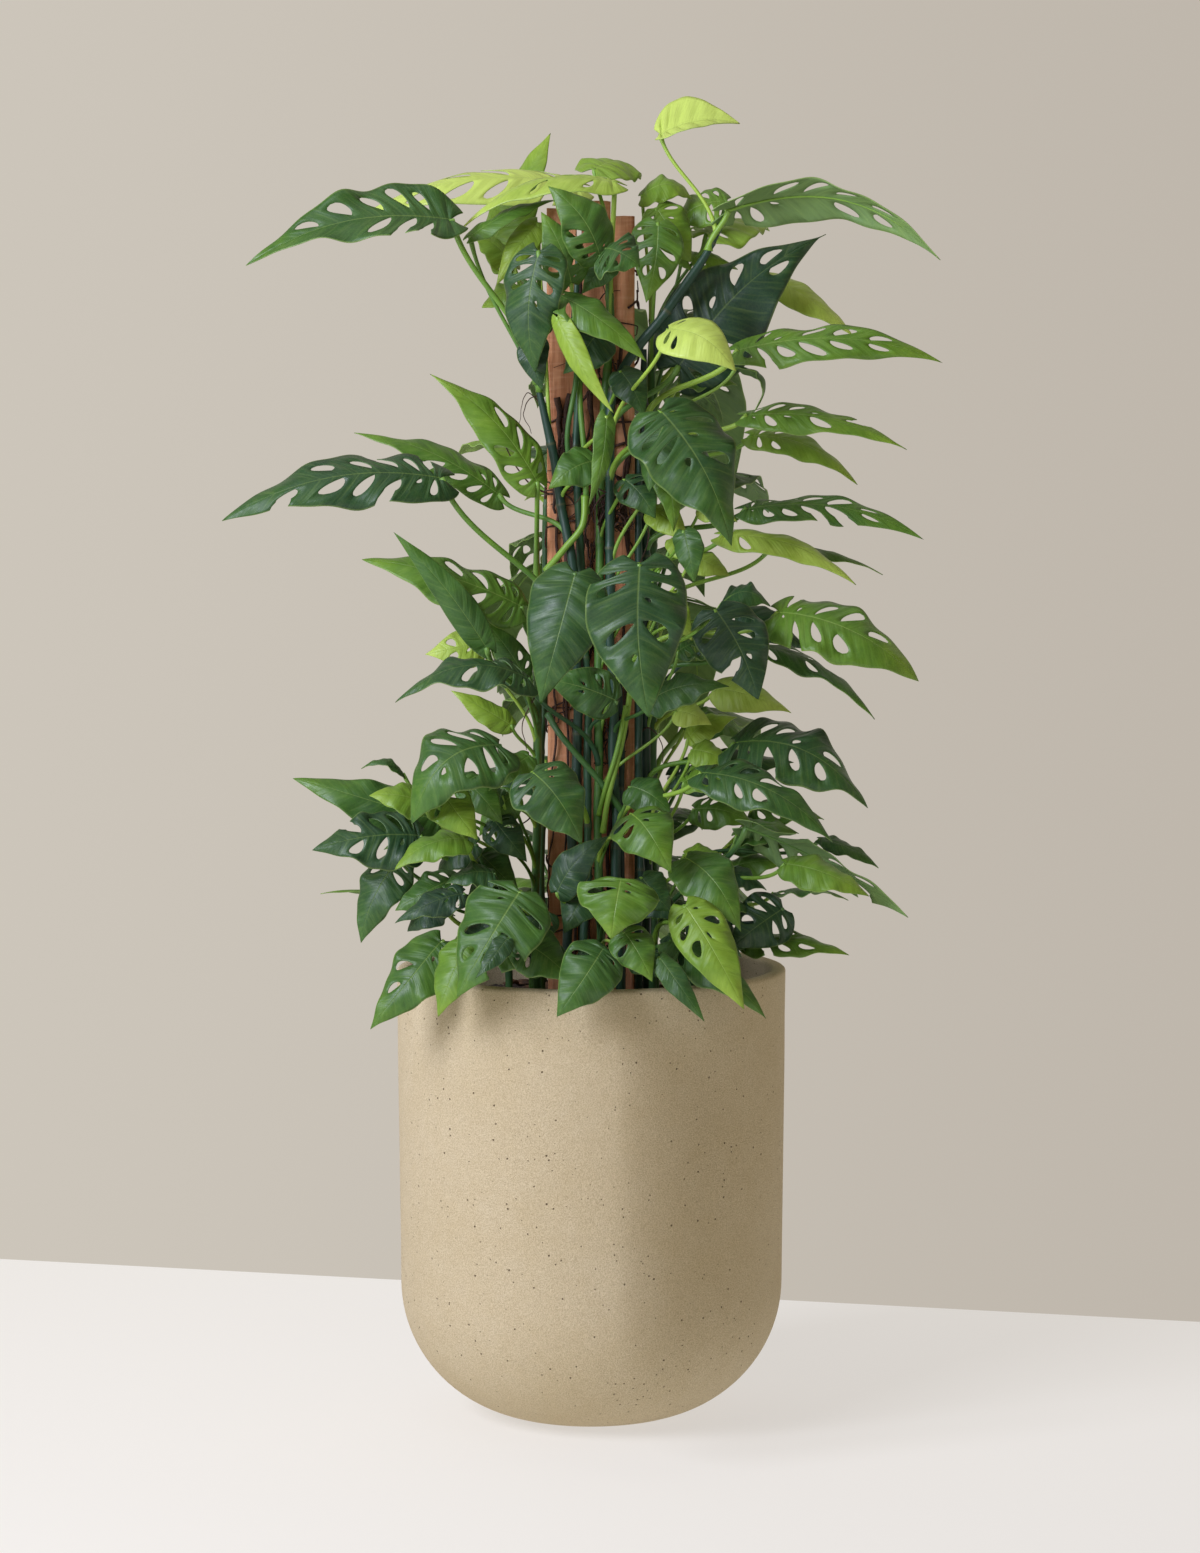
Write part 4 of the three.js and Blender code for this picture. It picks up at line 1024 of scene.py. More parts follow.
# %% Petioles and midribs
def petiole_grid(leaf, foot, steps=26):
    """A cubic Bezier curve from the stem to the blade's base, then the midrib under the blade.
    The radius swells by exp(-t / 0.09) at the stem and, round t = 0.965, at the knee."""
    reach = leaf["base"] - foot
    distance = np.linalg.norm(reach)
    arrive = unit(unit(reach) + np.array([0, 0, 1]))
    handle = [
        foot,
        foot + PETIOLE["lean"] * reach + np.array([0, 0, distance * PETIOLE["rise"]]),
        leaf["base"] - PETIOLE["droop"] * distance * arrive,
        leaf["base"],
    ]
    t = np.linspace(0, 1, steps)[:, None]
    weights = ((1 - t) ** 3, 3 * t * (1 - t) ** 2, 3 * t * t * (1 - t), t**3)
    stalk = sum(weight * point for weight, point in zip(weights, handle))
    thick = np.clip(1.3 + leaf["length"] / 130, 1.5, 2.9)
    t = t[:, 0]
    radius = thick * (1 + 0.75 * np.exp(-t / 0.09) + 0.32 * np.exp(-(((t - 0.965) / 0.035) ** 2)))
    u = np.linspace(0.04, 0.9, 22)
    rib_radius = 0.6 * thick * (1 - u) ** 0.8 + 0.15
    rib, _, _ = on_blade(leaf, u, np.zeros(len(u)), lift=-rib_radius - 0.1)
    path, radius = np.concatenate([stalk, rib]), np.concatenate([radius, rib_radius])
    knee = np.concatenate([np.exp(-(((t - 0.95) / 0.08) ** 2)), np.full(len(u), 0.8)])
    tone = min(0.85, 0.08 + leaf["age"] * 0.6 + 0.5 * leaf["chance"])
    return tube(path, radius, leaf["side"], sides=10, tone=tone, joint=0.0, knee=knee)


trial = stem_path(STEMS["stem_leaning"], seed=3)
print("points on the leaning stem:", len(trial), "top:", trial[-1].round())

# %% [markdown]
# ## Leaf finishes
#
# The upper face is leathery with a satin gloss, from deep blue-green on old leaves to lime on
# new ones, with paler veins; the underside is matt and greyer. Both finishes need the same
# masks for the midrib, side veins, fine net and margin, so these become one group that reads
# the blade's own map. Young leaves are paler all over, which one ramp over the age gives.

# %% A group for the vein masks
masks, given, out = group_of(
    "Leaf veins",
    [("Midrib width", FLOAT, 0.05), ("Vein width", FLOAT, 0.05)],
    [(name, FLOAT) for name in ("Midrib", "Veins", "Net", "Stripes", "Margin")],
)
bay_map, blade_map = (
    node(masks, "UVMap", uv_map=name).outputs[0] for name in ("veins", "blade")
)
bay_place = node(masks, "SeparateXYZ", {0: bay_map}).outputs
off_midrib = maths(masks, "ABSOLUTE", bay_place["Y"])
to_vein = maths(masks, "PINGPONG", bay_place["X"], 0.5)
side_vein = smooth_step(masks, to_vein, 0.0, given["Vein width"], 1.0, 0.0)
half_way = maths(masks, "SUBTRACT", 0.5, to_vein)
finer = maths(masks, "MULTIPLY", smooth_step(masks, half_way, 0.0, given["Vein width"], 1.0, 0.0), 0.35)
fades = smooth_step(masks, off_midrib, 0.72, 0.97, 1.0, 0.0)
cells = node(masks, "TexVoronoi", {"Vector": blade_map, "Scale": 260.0}, feature="DISTANCE_TO_EDGE")
moves = [(bay_place["X"], 7.0), (bay_place["Y"], 1.3), (fact(masks, "chance"), 40.0)]
scaled = [maths(masks, "MULTIPLY", value, scale) for value, scale in moves]
stripe_place = node(masks, "CombineXYZ", dict(enumerate(scaled))).outputs[0]
stripes = node(masks, "TexNoise", {"Vector": stripe_place, "Scale": 1.0, "Detail": 2.5})
fill(out, {
    "Midrib": smooth_step(masks, off_midrib, 0.0, given["Midrib width"], 1.0, 0.0),
    "Veins": maths(masks, "MULTIPLY", maths(masks, "MAXIMUM", side_vein, finer), fades),
    "Net": smooth_step(masks, cells.outputs[0], 0.0, 0.1, 1.0, 0.0),
    "Stripes": stripes.outputs[0],
    "Margin": smooth_step(masks, off_midrib, 0.955, 1.0),
})
print("vein masks:", [socket.name for socket in masks.interface.items_tree])

# %% A group for the colour of age
AGE_RAMP = [
    (0.0, 30, 56, 44), (0.2, 41, 76, 39), (0.38, 62, 102, 36), (0.55, 94, 132, 38),
    (0.75, 136, 166, 52), (1.0, 190, 212, 100),
]
age_colour, given, out = group_of(
    "Leaf age",
    [("Pale", COLOUR, (1, 1, 1, 1)), ("Pale share", FLOAT, 0.0)],
    [("Color", COLOUR), ("Tone", FLOAT)],
)
patches = mottled(age_colour, object_place(age_colour), 26.0, 140.0, 0.3)
paler_tip = smooth_step(age_colour, fact(age_colour, "along"), 0.45, 1.0, 0.0, 0.12)
toned = maths(
    age_colour, "ADD",
    maths(age_colour, "ADD", fact(age_colour, "tone"), paler_tip),
    maths(age_colour, "MULTIPLY_ADD", patches, 0.36, -0.18),
)
green = ramp(age_colour, toned, AGE_RAMP)
fill(out, {"Color": blend(age_colour, given["Pale share"], green, given["Pale"]), "Tone": toned})
print("age ramp stops:", len(AGE_RAMP))

# %% The two faces of a blade
RIB_TINT = srgb(170, 196, 104)


def leaf_material(name, pale, pale_share, vein_share, roughness, specular, depth):
    """Green by age, darker and paler in stripes along the fine veins, partly their own tone and partly
    painted shade and light of the ribbing, with pale lines on the midrib, the side veins, the fine
    net and the margin. Depth is that of the sunken lines, below 0 where they stand out."""
    made, tree, shader = material_of(name)
    base = use_group(tree, age_colour, Pale=pale, Pale_share=pale_share)
    mask = use_group(tree, masks, Midrib_width=0.035, Vein_width=0.05)
    darker = blend(tree, 0.42, base["Color"], (0, 0, 0, 1))
    lighter = blend(tree, 0.5, base["Color"], RIB_TINT)
    rib_share = smooth_step(tree, base["Tone"], 0.0, 0.5, 0.27, 0.6)
    rib = maths(tree, "MULTIPLY", mask["Midrib"], rib_share)
    lines = maths(tree, "MAXIMUM", rib, maths(tree, "MULTIPLY", mask["Veins"], vein_share))
    tint = base["Color"]
    for share, colour in (
        # Stripes of fine veins: partly their own tone, partly painted shade and light of the ribbing.
        (smooth_step(tree, mask["Stripes"], 0.5, 0.7, 0.0, 0.3), darker),
        (smooth_step(tree, mask["Stripes"], 0.5, 0.3, 0.0, 0.12), lighter),
        (lines, lighter),
        (maths(tree, "MULTIPLY", mask["Net"], 0.05), lighter),
        (maths(tree, "MULTIPLY", mask["Margin"], 0.6), lighter),
    ):
        tint = blend(tree, share, tint, colour)
    waxy = mottled(tree, object_place(tree), 30.0, 200.0, 0.4)
    gloss = smooth_step(tree, waxy, 0.3, 0.7, roughness - 0.06, roughness + 0.12)
    relief = maths(tree, "MULTIPLY_ADD", lines, -0.8, maths(tree, "MULTIPLY", mask["Stripes"], -1.0))
    finish(shader, tint, gloss, specular, relief, 0.6, depth)
    return made


leaf_upper = leaf_material("leaf_upper", RIB_TINT, 0.0, 0.12, 0.43, 0.42, 0.001)
leaf_under = leaf_material("leaf_under", srgb(134, 160, 112), 0.45, 0.22, 0.58, 0.35, -0.0009)
print("leaf finishes:", leaf_upper.name, leaf_under.name)

# %% Skin of stems and petioles, and of aerial roots
stalk_skin, tree, shader = material_of("stalk_skin")
STALK_RAMP = [
    (0.0, 24, 50, 42), (0.2, 40, 76, 56), (0.4, 66, 110, 48), (0.6, 114, 156, 52), (0.9, 164, 196, 76),
]
tint = ramp(tree, use_group(tree, age_colour)["Tone"], STALK_RAMP)
tint = blend(tree, maths(tree, "MULTIPLY", fact(tree, "knee"), 0.45), tint, srgb(132, 172, 78))
tint = blend(tree, smooth_step(tree, fact(tree, "joint"), 0.4, 1.0, 0.0, 0.5), tint, srgb(96, 92, 58))
streaks = mottled(tree, object_place(tree, (1, 1, 0.1)), 300.0, 900.0, 0.5)
finish(shader, tint, 0.45, relief=streaks, strength=0.3, depth=0.0008)

root_skin, tree, shader = material_of("root_skin")
crust = mottled(tree, object_place(tree), 120.0, 700.0, 0.5)
finish(shader, ramp(tree, crust, [(0.35, 38, 26, 22), (0.7, 92, 62, 46)]), 0.85)

# %% [markdown]
# ## Growing the vine
#
# Each stem of the frame becomes two pieces: its stalks, and its blades, which a Solidify
# modifier makes 0.8 mm thick with the paler finish below. Every leaf draws its small
# differences from its own seed.

# %% Stalks and blades of a stem
STEM_TONES = {
    "stem_front_left": 0.08, "stem_front_middle": 0.22, "stem_front_right": 0.42,
    "stem_leaning": 0.12, "stem_right": 0.05, "stem_back_right": 0.35, "stem_left": 0.4,
    "stem_back_left": 0.1, "stem_back_middle": 0.1,
}
SHOOT_TONE = 0.3
BLADE_SKIN = {"thickness": 0.8 * MM, "offset": -1, "material_offset": 1, "material_offset_rim": 1}


def grown(stem, number, path):
    """The petioles and the blades of all leaves of one stem."""
    leaves = leaves_of(stem, number)
    stalks = [petiole_grid(leaf, on_stem(path, leaf["leaves_stem_at"])) for leaf in leaves]
    blades = [blade_grid(leaf, np.random.default_rng([number, i])) for i, leaf in enumerate(leaves)]
    return stalks, blades


def foliage(title, stalks, blades):
    """The stalks as one piece, and the blades as another that gets its thickness."""
    made = [
        piece(f"{title}_stalks", stalks, "foliage", stalk_skin),
        piece(f"{title}_blades", blades, "foliage", leaf_upper, leaf_under),
    ]
    skin = made[1].modifiers.new("skin", "SOLIDIFY")
    for setting, value in BLADE_SKIN.items():
        setattr(skin, setting, value)
    print(title, len(blades), "leaves,", len(made[1].data.polygons), "faces before their thickness")
    return made


# %% The vine, stem by stem
paths = {}
for number, (name, stem) in enumerate(STEMS.items()):
    paths[name] = stem_path(stem, seed=60 + number)
    stalks, blades = grown(stem, number, paths[name])
    tone = STEM_TONES.get(name, SHOOT_TONE)
    middle = stem_grid(stem, paths[name], seed=80 + number, tone=tone)
    for made in foliage(name, [middle, *stalks], blades):
        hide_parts(name)

# %% [markdown]
# ## Undergrowth
#
# Low on the vine and deep between its stems sit many more small leaves, dark for lack of light,
# with a few new pale ones. They hide the soil and give the plant its dense core. They grow from
# the same stems by the same functions: in front from rows like those above, behind by rules
# like those of the far side, with a size that makes them small.

# %% Rows of small leaves between the large ones
UNDERGROWTH = {
    "shoot_front_right": [
        [470, 72, 484, -150, 142, 455, -170, 52, 0, 35, 0.12, 1, 0.12, 0],
        [480, 104, 512, -110, 158, 474, -95, 42, 0, 40, 0.12, 0, 0.1, 0],
        [466, 44, 476, -170, 80, 451, -168, 34, 0, 30, 0.1, 0, 0.15, 0],
        [520, 44, 545, -110, 92, 512, -125, 44, 0, 30, 0.15, 0, 0.1, 0],
        [505, 112, 540, -70, 170, 520, -60, 40, 0, 60, 0.12, 1, 0.2, 0],
    ],
    "shoot_front": [
        [460, -6, 480, -165, 22, 446, -170, 40, 0, 30, 0.12, 0, 0.12, 0],
        [466, -38, 486, -160, -58, 450, -166, 38, 0, 30, 0.12, 0, 0.15, 0],
        [500, 0, 545, -130, -28, 498, -150, 46, 0, 25, 0.12, 1, 0.15, 0],
        [505, 52, 556, -120, 84, 520, -130, 42, 0, 30, 0.12, 0, 0.15, 0],
    ],
    "shoot_front_left": [
        [470, -98, 505, -150, -140, 470, -150, 44, 0, 30, 0.12, 0, 0.1, 0],
        [480, -44, 520, -150, -84, 480, -160, 46, 0, 30, 0.12, 1, 0.12, 0],
        [500, -100, 560, -130, -150, 552, -140, 42, 0, 55, 0.12, 0, 0.2, 0],
        [478, -110, 478, -140, -150, 454, -120, 34, 0, 40, 0.1, 0, 0.15, 0],
    ],
    "shoot_left": [
        [520, -118, 590, -90, -160, 560, -70, 42, 0, 45, 0.12, 0, 0.15, 0],
        [540, -150, 600, -60, -215, 588, -40, 44, 0, 55, 0.12, 1, 0.2, 0],
        [500, -150, 535, -90, -190, 500, -80, 40, 0, 40, 0.12, 0, 0.1, 0],
        [560, -110, 640, -60, -150, 672, -40, 40, 0, 60, 0.12, 0, 0.3, 0],
    ],
    "shoot_right": [
        [500, 130, 560, -60, 182, 545, -50, 42, 0, 55, 0.12, 1, 0.2, 0],
        [520, 150, 600, -30, 214, 606, -20, 44, 0, 60, 0.12, 1, 0.3, 0],
        [540, 165, 625, 10, 240, 618, 20, 46, 0, 60, 0.12, 2, 0.35, 0],
        [470, 130, 505, -50, 172, 482, -30, 36, 0, 50, 0.1, 0, 0.12, 0],
    ],
    "stem_front_right": [
        [560, 40, 650, -70, 82, 625, -90, 44, 0, 30, 0.12, 0, 0.25, 0],
        [820, 62, 934, -44, 98, 900, -60, 34, 0, 30, 0.12, 0, 0.8, 0],
        [640, 88, 728, -44, 124, 714, -56, 34, 0, 40, 0.12, 0, 0.8, 0],
        [760, 84, 905, -30, 120, 868, -46, 34, 0, 35, 0.12, 0, 0.7, 0],
        [700, 74, 846, -50, 104, 800, -70, 36, 0, 30, 0.12, 0, 0.75, 0],
        [900, 34, 965, -60, 66, 925, -75, 40, 0, 20, 0.12, 1, 0.15, 0],
        [1010, 30, 1075, -60, 55, 1030, -70, 38, 0, 20, 0.12, 0, 0.12, 0],
    ],
    "stem_right": [
        [560, 96, 655, -50, 160, 665, -40, 48, 0, 60, 0.12, 2, 0.55, 0],
        [585, 104, 688, -50, 142, 676, -60, 36, 0, 40, 0.12, 0, 0.6, 0],
        [842, 112, 937, -34, 150, 923, -44, 34, 0, 45, 0.12, 0, 0.8, 0],
        [800, 102, 886, -40, 142, 868, -50, 34, 0, 40, 0.12, 0, 0.7, 0],
        [470, 96, 580, -60, 142, 570, -70, 36, 0, 45, 0.12, 0, 0.6, 0],
        [600, 100, 700, -30, 150, 722, -20, 42, 0, 60, 0.12, 0, 0.7, 0],
        [700, 90, 790, -40, 140, 800, -30, 44, 0, 60, 0.12, 1, 0.3, 0],
        [900, 96, 985, -30, 146, 968, -30, 40, 0, 50, 0.12, 0, 0.2, 0],
        [1000, 92, 1070, -10, 150, 1062, 0, 42, 0, 55, 0.12, 1, 0.45, 0],
    ],
    "stem_left": [
        [560, -92, 640, -70, -140, 640, -60, 42, 0, 55, 0.12, 0, 0.2, 0],
        [540, -100, 615, -70, -66, 574, -92, 42, 0, 30, 0.12, 1, 0.15, 0],
        [500, -114, 580, -60, -74, 540, -80, 42, 0, 30, 0.12, 0, 0.3, 0],
        [480, -90, 556, -50, -128, 534, -52, 40, 0, 40, 0.12, 0, 0.12, 0],
        [560, -80, 642, -54, -116, 600, -64, 40, 0, 30, 0.12, 0, 0.45, 0],
        [700, -76, 770, -20, -130, 760, -10, 42, 0, 50, 0.12, 1, 0.3, 0],
    ],
    "stem_back_right": [
        [1020, 84, 1130, 10, 140, 1120, 20, 44, 0, 60, 0.12, 1, 0.5, 0],
        [1060, 92, 1190, 20, 150, 1180, 34, 44, 0, 60, 0.12, 1, 0.6, 0],
        [640, 100, 720, 20, 160, 700, 30, 44, 0, 50, 0.12, 1, 0.35, 0],
    ],
    "stem_back_left": [
        [1090, -78, 1180, 40, -120, 1215, 50, 46, 0, 60, 0.12, 1, 0.6, 0],
        [1060, -70, 1160, 30, -112, 1140, 36, 44, 0, 50, 0.12, 1, 0.5, 0],
    ],
    "stem_front_left": [
        [1060, -44, 1130, -60, -78, 1105, -66, 34, -20, 30, 0.1, 0, 0.15, 0],
        [1066, -60, 1110, -70, -50, 1055, -80, 34, -10, 20, 0.1, 0, 0.12, 0],
    ],
}

# %% Small leaves behind, and all undergrowth grown
RULE = ("count", "lowest", "pitch", "facing", "fan", "reach", "drop", "uneven", "size")
SMALL_BEHIND = {
    "shoot_back": (10, 490, 9, 8, 100, 50, 0.4, 0.6, 0.55),
    "stem_back_middle": (8, 560, 76, 2, 34, 60, 0.3, 0.9, 0.5),
    "stem_back_left": (7, 590, 80, -22, 26, 54, 0.3, 0.9, 0.5),
    "stem_back_right": (7, 575, 80, 26, 26, 54, 0.3, 0.9, 0.5),
}
small = {name: {"leaves": rows} for name, rows in UNDERGROWTH.items()}
small_behind = {
    name: {"leaves": [], "route": STEMS[name]["route"], "behind": dict(zip(RULE, row))}
    for name, row in SMALL_BEHIND.items()
}
FIRST_SEEDS = {"undergrowth": 40, "undergrowth_behind": 51}
for (title, first), stems in zip(FIRST_SEEDS.items(), (small, small_behind)):
    parts = [
        grown(stem, number, paths[name])
        for number, (name, stem) in enumerate(stems.items(), first)
    ]
    stalks, blades = (sum(lists, []) for lists in zip(*parts))
    foliage(title, stalks, blades)

# %% [markdown]
# ## Old bare stems and aerial roots
#
# Between the leafy stems stand older ones that have dropped their leaves, and a few petioles
# cross in front of the stakes. The vine holds on with dark roots that start at its joints: some
# wrap the bundle of stakes, some run down the grooves between them, some hang loose and some
# tangle at the joints. A wrap is a path over angle and height round a rounded rectangle, so
# that it lies on the wood at every angle; a runner is a path over height in front of the wood.

# %% Bare stems and crossing petioles
BARE_STEMS = [
    {"radius": 3.6, "tone": 0.0, "route": [[32, -26, 440], [31, -20, 640], [30, -17, 800]]},
    {"radius": 4.2, "tone": 0.1, "route": [[49, -20, 440], [48, -17, 800], [47, -12, 1010]]},
    {"radius": 4.2, "tone": 0.3, "route": [[-51, 20, 440], [-49, 21, 800], [-46, 22, 980]]},
    {"radius": 4.6, "tone": 0.1, "route": [[46, 25, 440], [47, 26, 700], [46, 27, 1010]]},
    {"radius": 4.8, "tone": 0.1, "route": [[18, 34, 440], [19, 33, 900], [18, 33, 1140]]},
    {"radius": 4.8, "tone": 0.1, "route": [[-14, 34, 440], [-13, 33, 900], [-13, 33, 1160]]},
]
CROSSING_STALKS = [
    ([(-6, -38, 948), (-9, -44, 918), (-26, -42, 896), (-46, -32, 872)], 3.3, 0.62),
    ([(-12, -28, 1085), (-11, -38, 1040), (-6, -40, 980), (-5, -32, 930)], 2.9, 0.5),
    ([(-44, -26, 726), (-32, -42, 707), (8, -46, 660), (34, -36, 624)], 3.2, 0.35),
    ([(12, -34, 606), (17, -46, 640), (32, -50, 703), (42, -44, 764)], 2.8, 0.68),
    ([(8, -34, 624), (14, -48, 650), (26, -53, 690), (36, -50, 736)], 2.5, 0.6),
    ([(-22, -32, 976), (-24, -40, 1010), (-16, -42, 1060), (-12, -32, 1104)], 2.6, 0.4),
]
LEANING = [0.1, 1, 0.05]  # a reference that no listed path runs along


def crossing_stalk(points, radius, tone):
    """A spline through a few given points, a little thicker at both ends."""
    path = curve_through(points, 12)
    t = np.linspace(-1, 1, len(path))
    radius = radius * (1 + 0.3 * t**6)
    return tube(path, radius, LEANING, sides=10, tone=tone, joint=0.0, knee=0.0)


bare = [
    stem_grid(stem, stem_path(stem, seed=300 + i), seed=320 + i, tone=stem["tone"])
    for i, stem in enumerate(BARE_STEMS)
]
bare += [crossing_stalk(*row) for row in CROSSING_STALKS]
bare_stems = piece("bare_stems", bare, "foliage", stalk_skin)
print("bare stems:", len(bare), "with", len(bare_stems.data.polygons), "faces")

# %% Paths of roots
BUNDLE = {"x": 0.5, "y": 5, "half_x": 45.5, "half_y": 11.5}


def round_bundle(angle, lift):
    """A rounded rectangle round the three stakes: |x / half x|^6 + |y / half y|^6 = 1."""
    half_x, half_y = BUNDLE["half_x"] + lift, BUNDLE["half_y"] + lift
    c, s = np.cos(angle), np.sin(angle)
    size = (np.abs(c / half_x) ** 6 + np.abs(s / half_y) ** 6) ** (-1 / 6)
    return BUNDLE["x"] + size * c, BUNDLE["y"] + size * s


def wrapping_root(start, height, sweep, climb, thick, seed, steps=48):
    """angle and height change evenly along the root, and noise bends it off that line."""
    t = np.linspace(0, 1, steps)
    angle = start + sweep * t + 0.2 * smooth_noise(t * 7, 1.5, seed)
    height = height + climb * t + 10 * smooth_noise(t * 6, 4.5, seed)
    lift = thick * 0.5 + 2.5 * np.abs(smooth_noise(t * 5, 7.5, seed))
    path = np.stack([*round_bundle(angle, lift), height], axis=1)
    radius = thick * (1 - 0.6 * t) * (1 + 0.15 * smooth_noise(t * 12, 9.5, seed))
    return tube(path, radius, [0.02, 0.01, 1.0], sides=6)


def running_root(x, top, bottom, thick, seed, front=-7.0, steps=60):
    """x wanders with the noise while the root goes down the front of the wood."""
    t = np.linspace(0, 1, steps)
    height = top + (bottom - top) * t
    wander = 5 * smooth_noise(t * 6, 2.5, seed)
    side = x[0] + (x[1] - x[0]) * t + wander + 1.5 * smooth_noise(t * 21, t, seed)
    depth = front - thick * 0.6 - 2.5 * np.abs(smooth_noise(t * 8, 5.5, seed))
    radius = thick * (1 - 0.55 * t) * (1 + 0.2 * smooth_noise(t * 25, 8.5, seed))
    return tube(np.stack([side, depth, height], axis=1), radius, [0, 1, 0.02], sides=8)


def free_root(points, thick, seed):
    """A loose root: a spline through a few points, unsteadier and thinner to its tip."""
    path = curve_through(points, 12)
    t = np.linspace(0, 1, len(path))
    unsteady = np.stack([smooth_noise(t * 9, k, seed) for k in (1.5, 4.5, 7.5)], axis=1)
    path = path + 1.2 * unsteady * t[:, None]
    return tube(path, thick * (1 - 0.6 * t), LEANING, sides=6)


# %% All roots in one piece
WRAPS = {"count": 60, "heights": (520, 1190), "tied": (890, 990)}  # one wrap in four is tied
RUNNERS = [
    [(-12, -13), 1210, 440, 2.8], [(20, 19), 1200, 440, 2.6], [(-32, -18), 1048, 760, 3.4],
    [(-22, -40), 1052, 930, 3.0], [(-38, -24), 1000, 700, 1.8], [(-18, -30), 900, 560, 2.0],
    [(28, 40), 1110, 880, 2.0], [(38, 26), 1000, 640, 2.2], [(2, 10), 1080, 620, 2.2],
    [(-6, -2), 860, 470, 2.0], [(34, 30), 760, 480, 1.8], [(-36, -42), 800, 520, 1.5],
    [(10, 22), 980, 760, 1.8], [(-14, -26), 720, 500, 2.2], [(22, 12), 700, 450, 2.4],
]
FREE_ROOTS = [
    [[(-44, -8, 950), (-62, -16, 960), (-82, -20, 988), (-96, -24, 1022), (-103, -26, 1046)], 1.0],
    [[(-50, -30, 1050), (-62, -36, 1046), (-68, -34, 1030), (-60, -30, 1012)], 0.7],
    [[(-50, -30, 1040), (-64, -34, 1052), (-70, -40, 1040), (-72, -36, 1022)], 0.6],
    [[(-46, -8, 760), (-58, -14, 742), (-70, -22, 716), (-66, -24, 690)], 0.9],
    [[(-46, -6, 640), (-60, -18, 622), (-78, -24, 606), (-92, -30, 574)], 1.0],
    [[(48, -8, 930), (58, -20, 915), (54, -26, 890), (44, -22, 872)], 0.9],
    [[(46, -8, 700), (58, -18, 712), (70, -26, 700), (74, -24, 676)], 0.9],
    [[(30, -12, 965), (16, -34, 952), (-2, -36, 958), (-16, -30, 940)], 1.1],
    [[(26, -12, 940), (12, -36, 948), (0, -38, 930), (-8, -30, 905)], 1.0],
]
TANGLES = [
    [(26, -26, 932), (20, 8, 22), 26], [(-26, -24, 985), (9, 6, 34), 20],
    [(30, -22, 1062), (10, 6, 26), 12], [(-24, -22, 800), (14, 6, 26), 12],
    [(18, -24, 700), (18, 7, 30), 14],
]
draw = np.random.default_rng(77)
roots = []
for index in range(WRAPS["count"]):
    start = -np.pi / 2 + draw.normal(0, 0.9)
    sweep, climb = draw.choice([-1, 1]) * draw.uniform(0.4, 2.6), draw.uniform(-90, 40)
    height = draw.uniform(*WRAPS["heights" if index % 4 else "tied"])
    thick = draw.uniform(0.7, 1.7)
    roots.append(wrapping_root(start, height, sweep, climb, thick, seed=200 + index))
roots += [running_root(*row, seed=400 + i) for i, row in enumerate(RUNNERS)]
roots += [free_root(*row, seed=500 + i) for i, row in enumerate(FREE_ROOTS)]
for middle, spread, count in TANGLES:
    for _ in range(count):
        corners = np.array(middle) + draw.uniform(-1, 1, (4, 3)) * spread
        by_x = corners[corners[:, 0].argsort()]
        roots.append(free_root(by_x, draw.uniform(0.5, 1.2), seed=600 + len(roots)))
aerial = piece("aerial_roots", roots, "foliage", root_skin)
print("aerial roots:", len(roots), "with", len(aerial.data.polygons), "faces")

# %% [markdown]
# ## Studio and camera
#
# A pale floor meets a warm grey wall that stands a little askew. The wall is not lit: it glows
# with its own light, and painted shade makes it darker from the left to the right. A large soft
# lamp at the left front gives the pot its slow fade to the right, and a narrow card between the
# lamp and the pot, seen only by the light, makes that fade begin near the pot's middle. A dim
# even sky fills the shadows, but the camera sees it as grey as the wall. The wall is clear from
# behind, so that the plant can be looked at from every side.


# %% Floor, wall and flag
def flat(name, corners, material):
    mesh = bpy.data.meshes.new(name)
    mesh.from_pydata(corners, [], [(0, 1, 2, 3)])
    mesh.materials.append(material)
    made = bpy.data.objects.new(name, mesh)
    bpy.context.collection.objects.link(made)
    made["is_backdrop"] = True
    return made


def upright(name, left, right, low, high, material):
    """A flat rectangle that stands on edge between two places of the floor plan."""
    corners = [(*left, low), (*right, low), (*right, high), (*left, high)]
    return flat(name, corners, material)


GREY = srgb(190, 182, 171)  # of the wall where it is darker, and of the sky in the camera
paint, tree, shader = material_of("floor_paint")
finish(shader, srgb(160, 158, 149), 0.9)
fill(shader, {"Emission Color": srgb(236, 233, 232), "Emission Strength": 0.65})
flat("floor", [(-7, -9, 0), (7, -9, 0), (7, 9, 0), (-7, 9, 0)], paint)

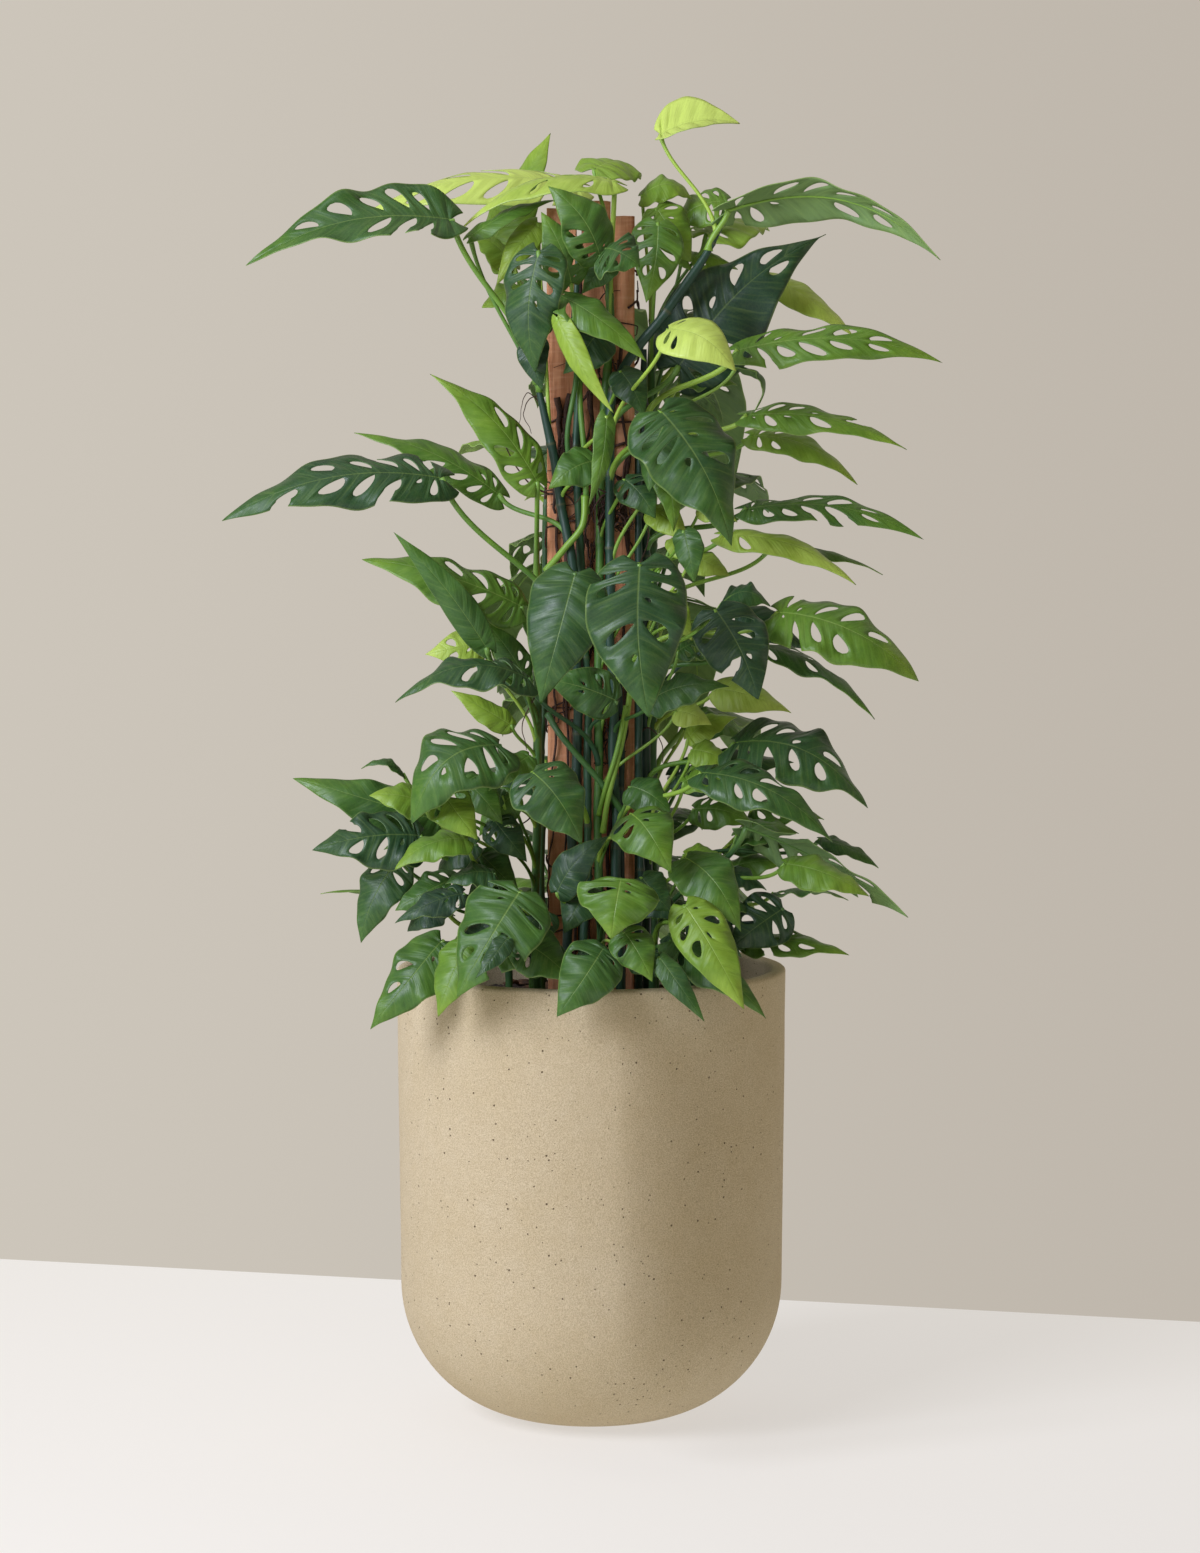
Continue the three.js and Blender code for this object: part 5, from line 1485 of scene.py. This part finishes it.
wall_glow, tree, shader = material_of("wall_glow")
place = node(tree, "SeparateXYZ", {0: object_place(tree)}).outputs
# The wall glows with its own light, and painted shade darkens it from the left to the right.
tint = blend(tree, smooth_step(tree, place["X"], -1.0, 1.0), srgb(205, 198, 187), GREY)
glow = node(tree, "Emission", {0: tint}).outputs[0]
clear = node(tree, "BsdfTransparent").outputs[0]
behind = node(tree, "NewGeometry").outputs["Backfacing"]
both = node(tree, "MixShader", {0: behind, 1: glow, 2: clear}).outputs[0]
fill(tree.nodes["Material Output"], {"Surface": both})
upright("wall", left=(-1.9, 1.083), right=(1.7, 0.170), low=0, high=3.2, material=wall_glow)

flag = upright("flag", left=(-0.021, -0.265), right=(0.028, -0.315), low=0.13, high=0.5, material=paint)
for ray in ("camera", "diffuse", "glossy", "transmission"):
    setattr(flag, f"visible_{ray}", False)


# %% Lamps and sky
def lamp(name, place, aim, size, power, colour):
    """A square soft lamp that looks at a point."""
    light = bpy.data.lights.new(name, "AREA")
    light.size, light.energy, light.color = size, power, colour
    made = bpy.data.objects.new(name, light)
    away = unit(np.array(place, float) - np.array(aim, float))
    made.location = place
    made.rotation_euler = (np.arccos(away[2]), 0, np.arctan2(away[0], -away[1]))
    bpy.context.collection.objects.link(made)
    return made


lamp("key", (-2.25, -2.2, 2.2), aim=(0, 0, 0.7), size=1.7, power=114, colour=(0.985, 1.025, 1.23))
lamp("top", (-0.3, -0.6, 3.4), aim=(0, 0, 0.6), size=1.8, power=10, colour=(1.0, 0.98, 0.96))
SHADOW_FILL = (0.185, 0.144, 0.078, 1)
world = bpy.data.worlds.new("studio")
world.use_nodes = True
tree = world.node_tree
seen = node(tree, "LightPath").outputs["Is Camera Ray"]
fill(tree.nodes["Background"], {"Color": blend(tree, seen, SHADOW_FILL, GREY), "Strength": 1.0})
bpy.context.scene.world = world
bpy.context.scene.view_settings.view_transform = "Standard"
print("lamps:", [light.name for light in bpy.data.lights])

# %% Camera
camera = bpy.data.cameras.new("camera")
camera.sensor_width, camera.lens = 36, 90.5
eye = bpy.data.objects.new("camera", camera)
eye.location = (0.009, -4.0, 0.964)
eye.rotation_euler = (np.radians(85.66), 0, 0)
bpy.context.collection.objects.link(eye)
bpy.context.scene.camera = eye
print("camera at", tuple(round(c, 3) for c in eye.location))

# %% The sizes of the frame and of the scene, printed side by side
size = {
    "cad": [list(map(float, corner)) for corner in cad_box],
    "visual": [list(map(float, corner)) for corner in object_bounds()],
}
print(size)
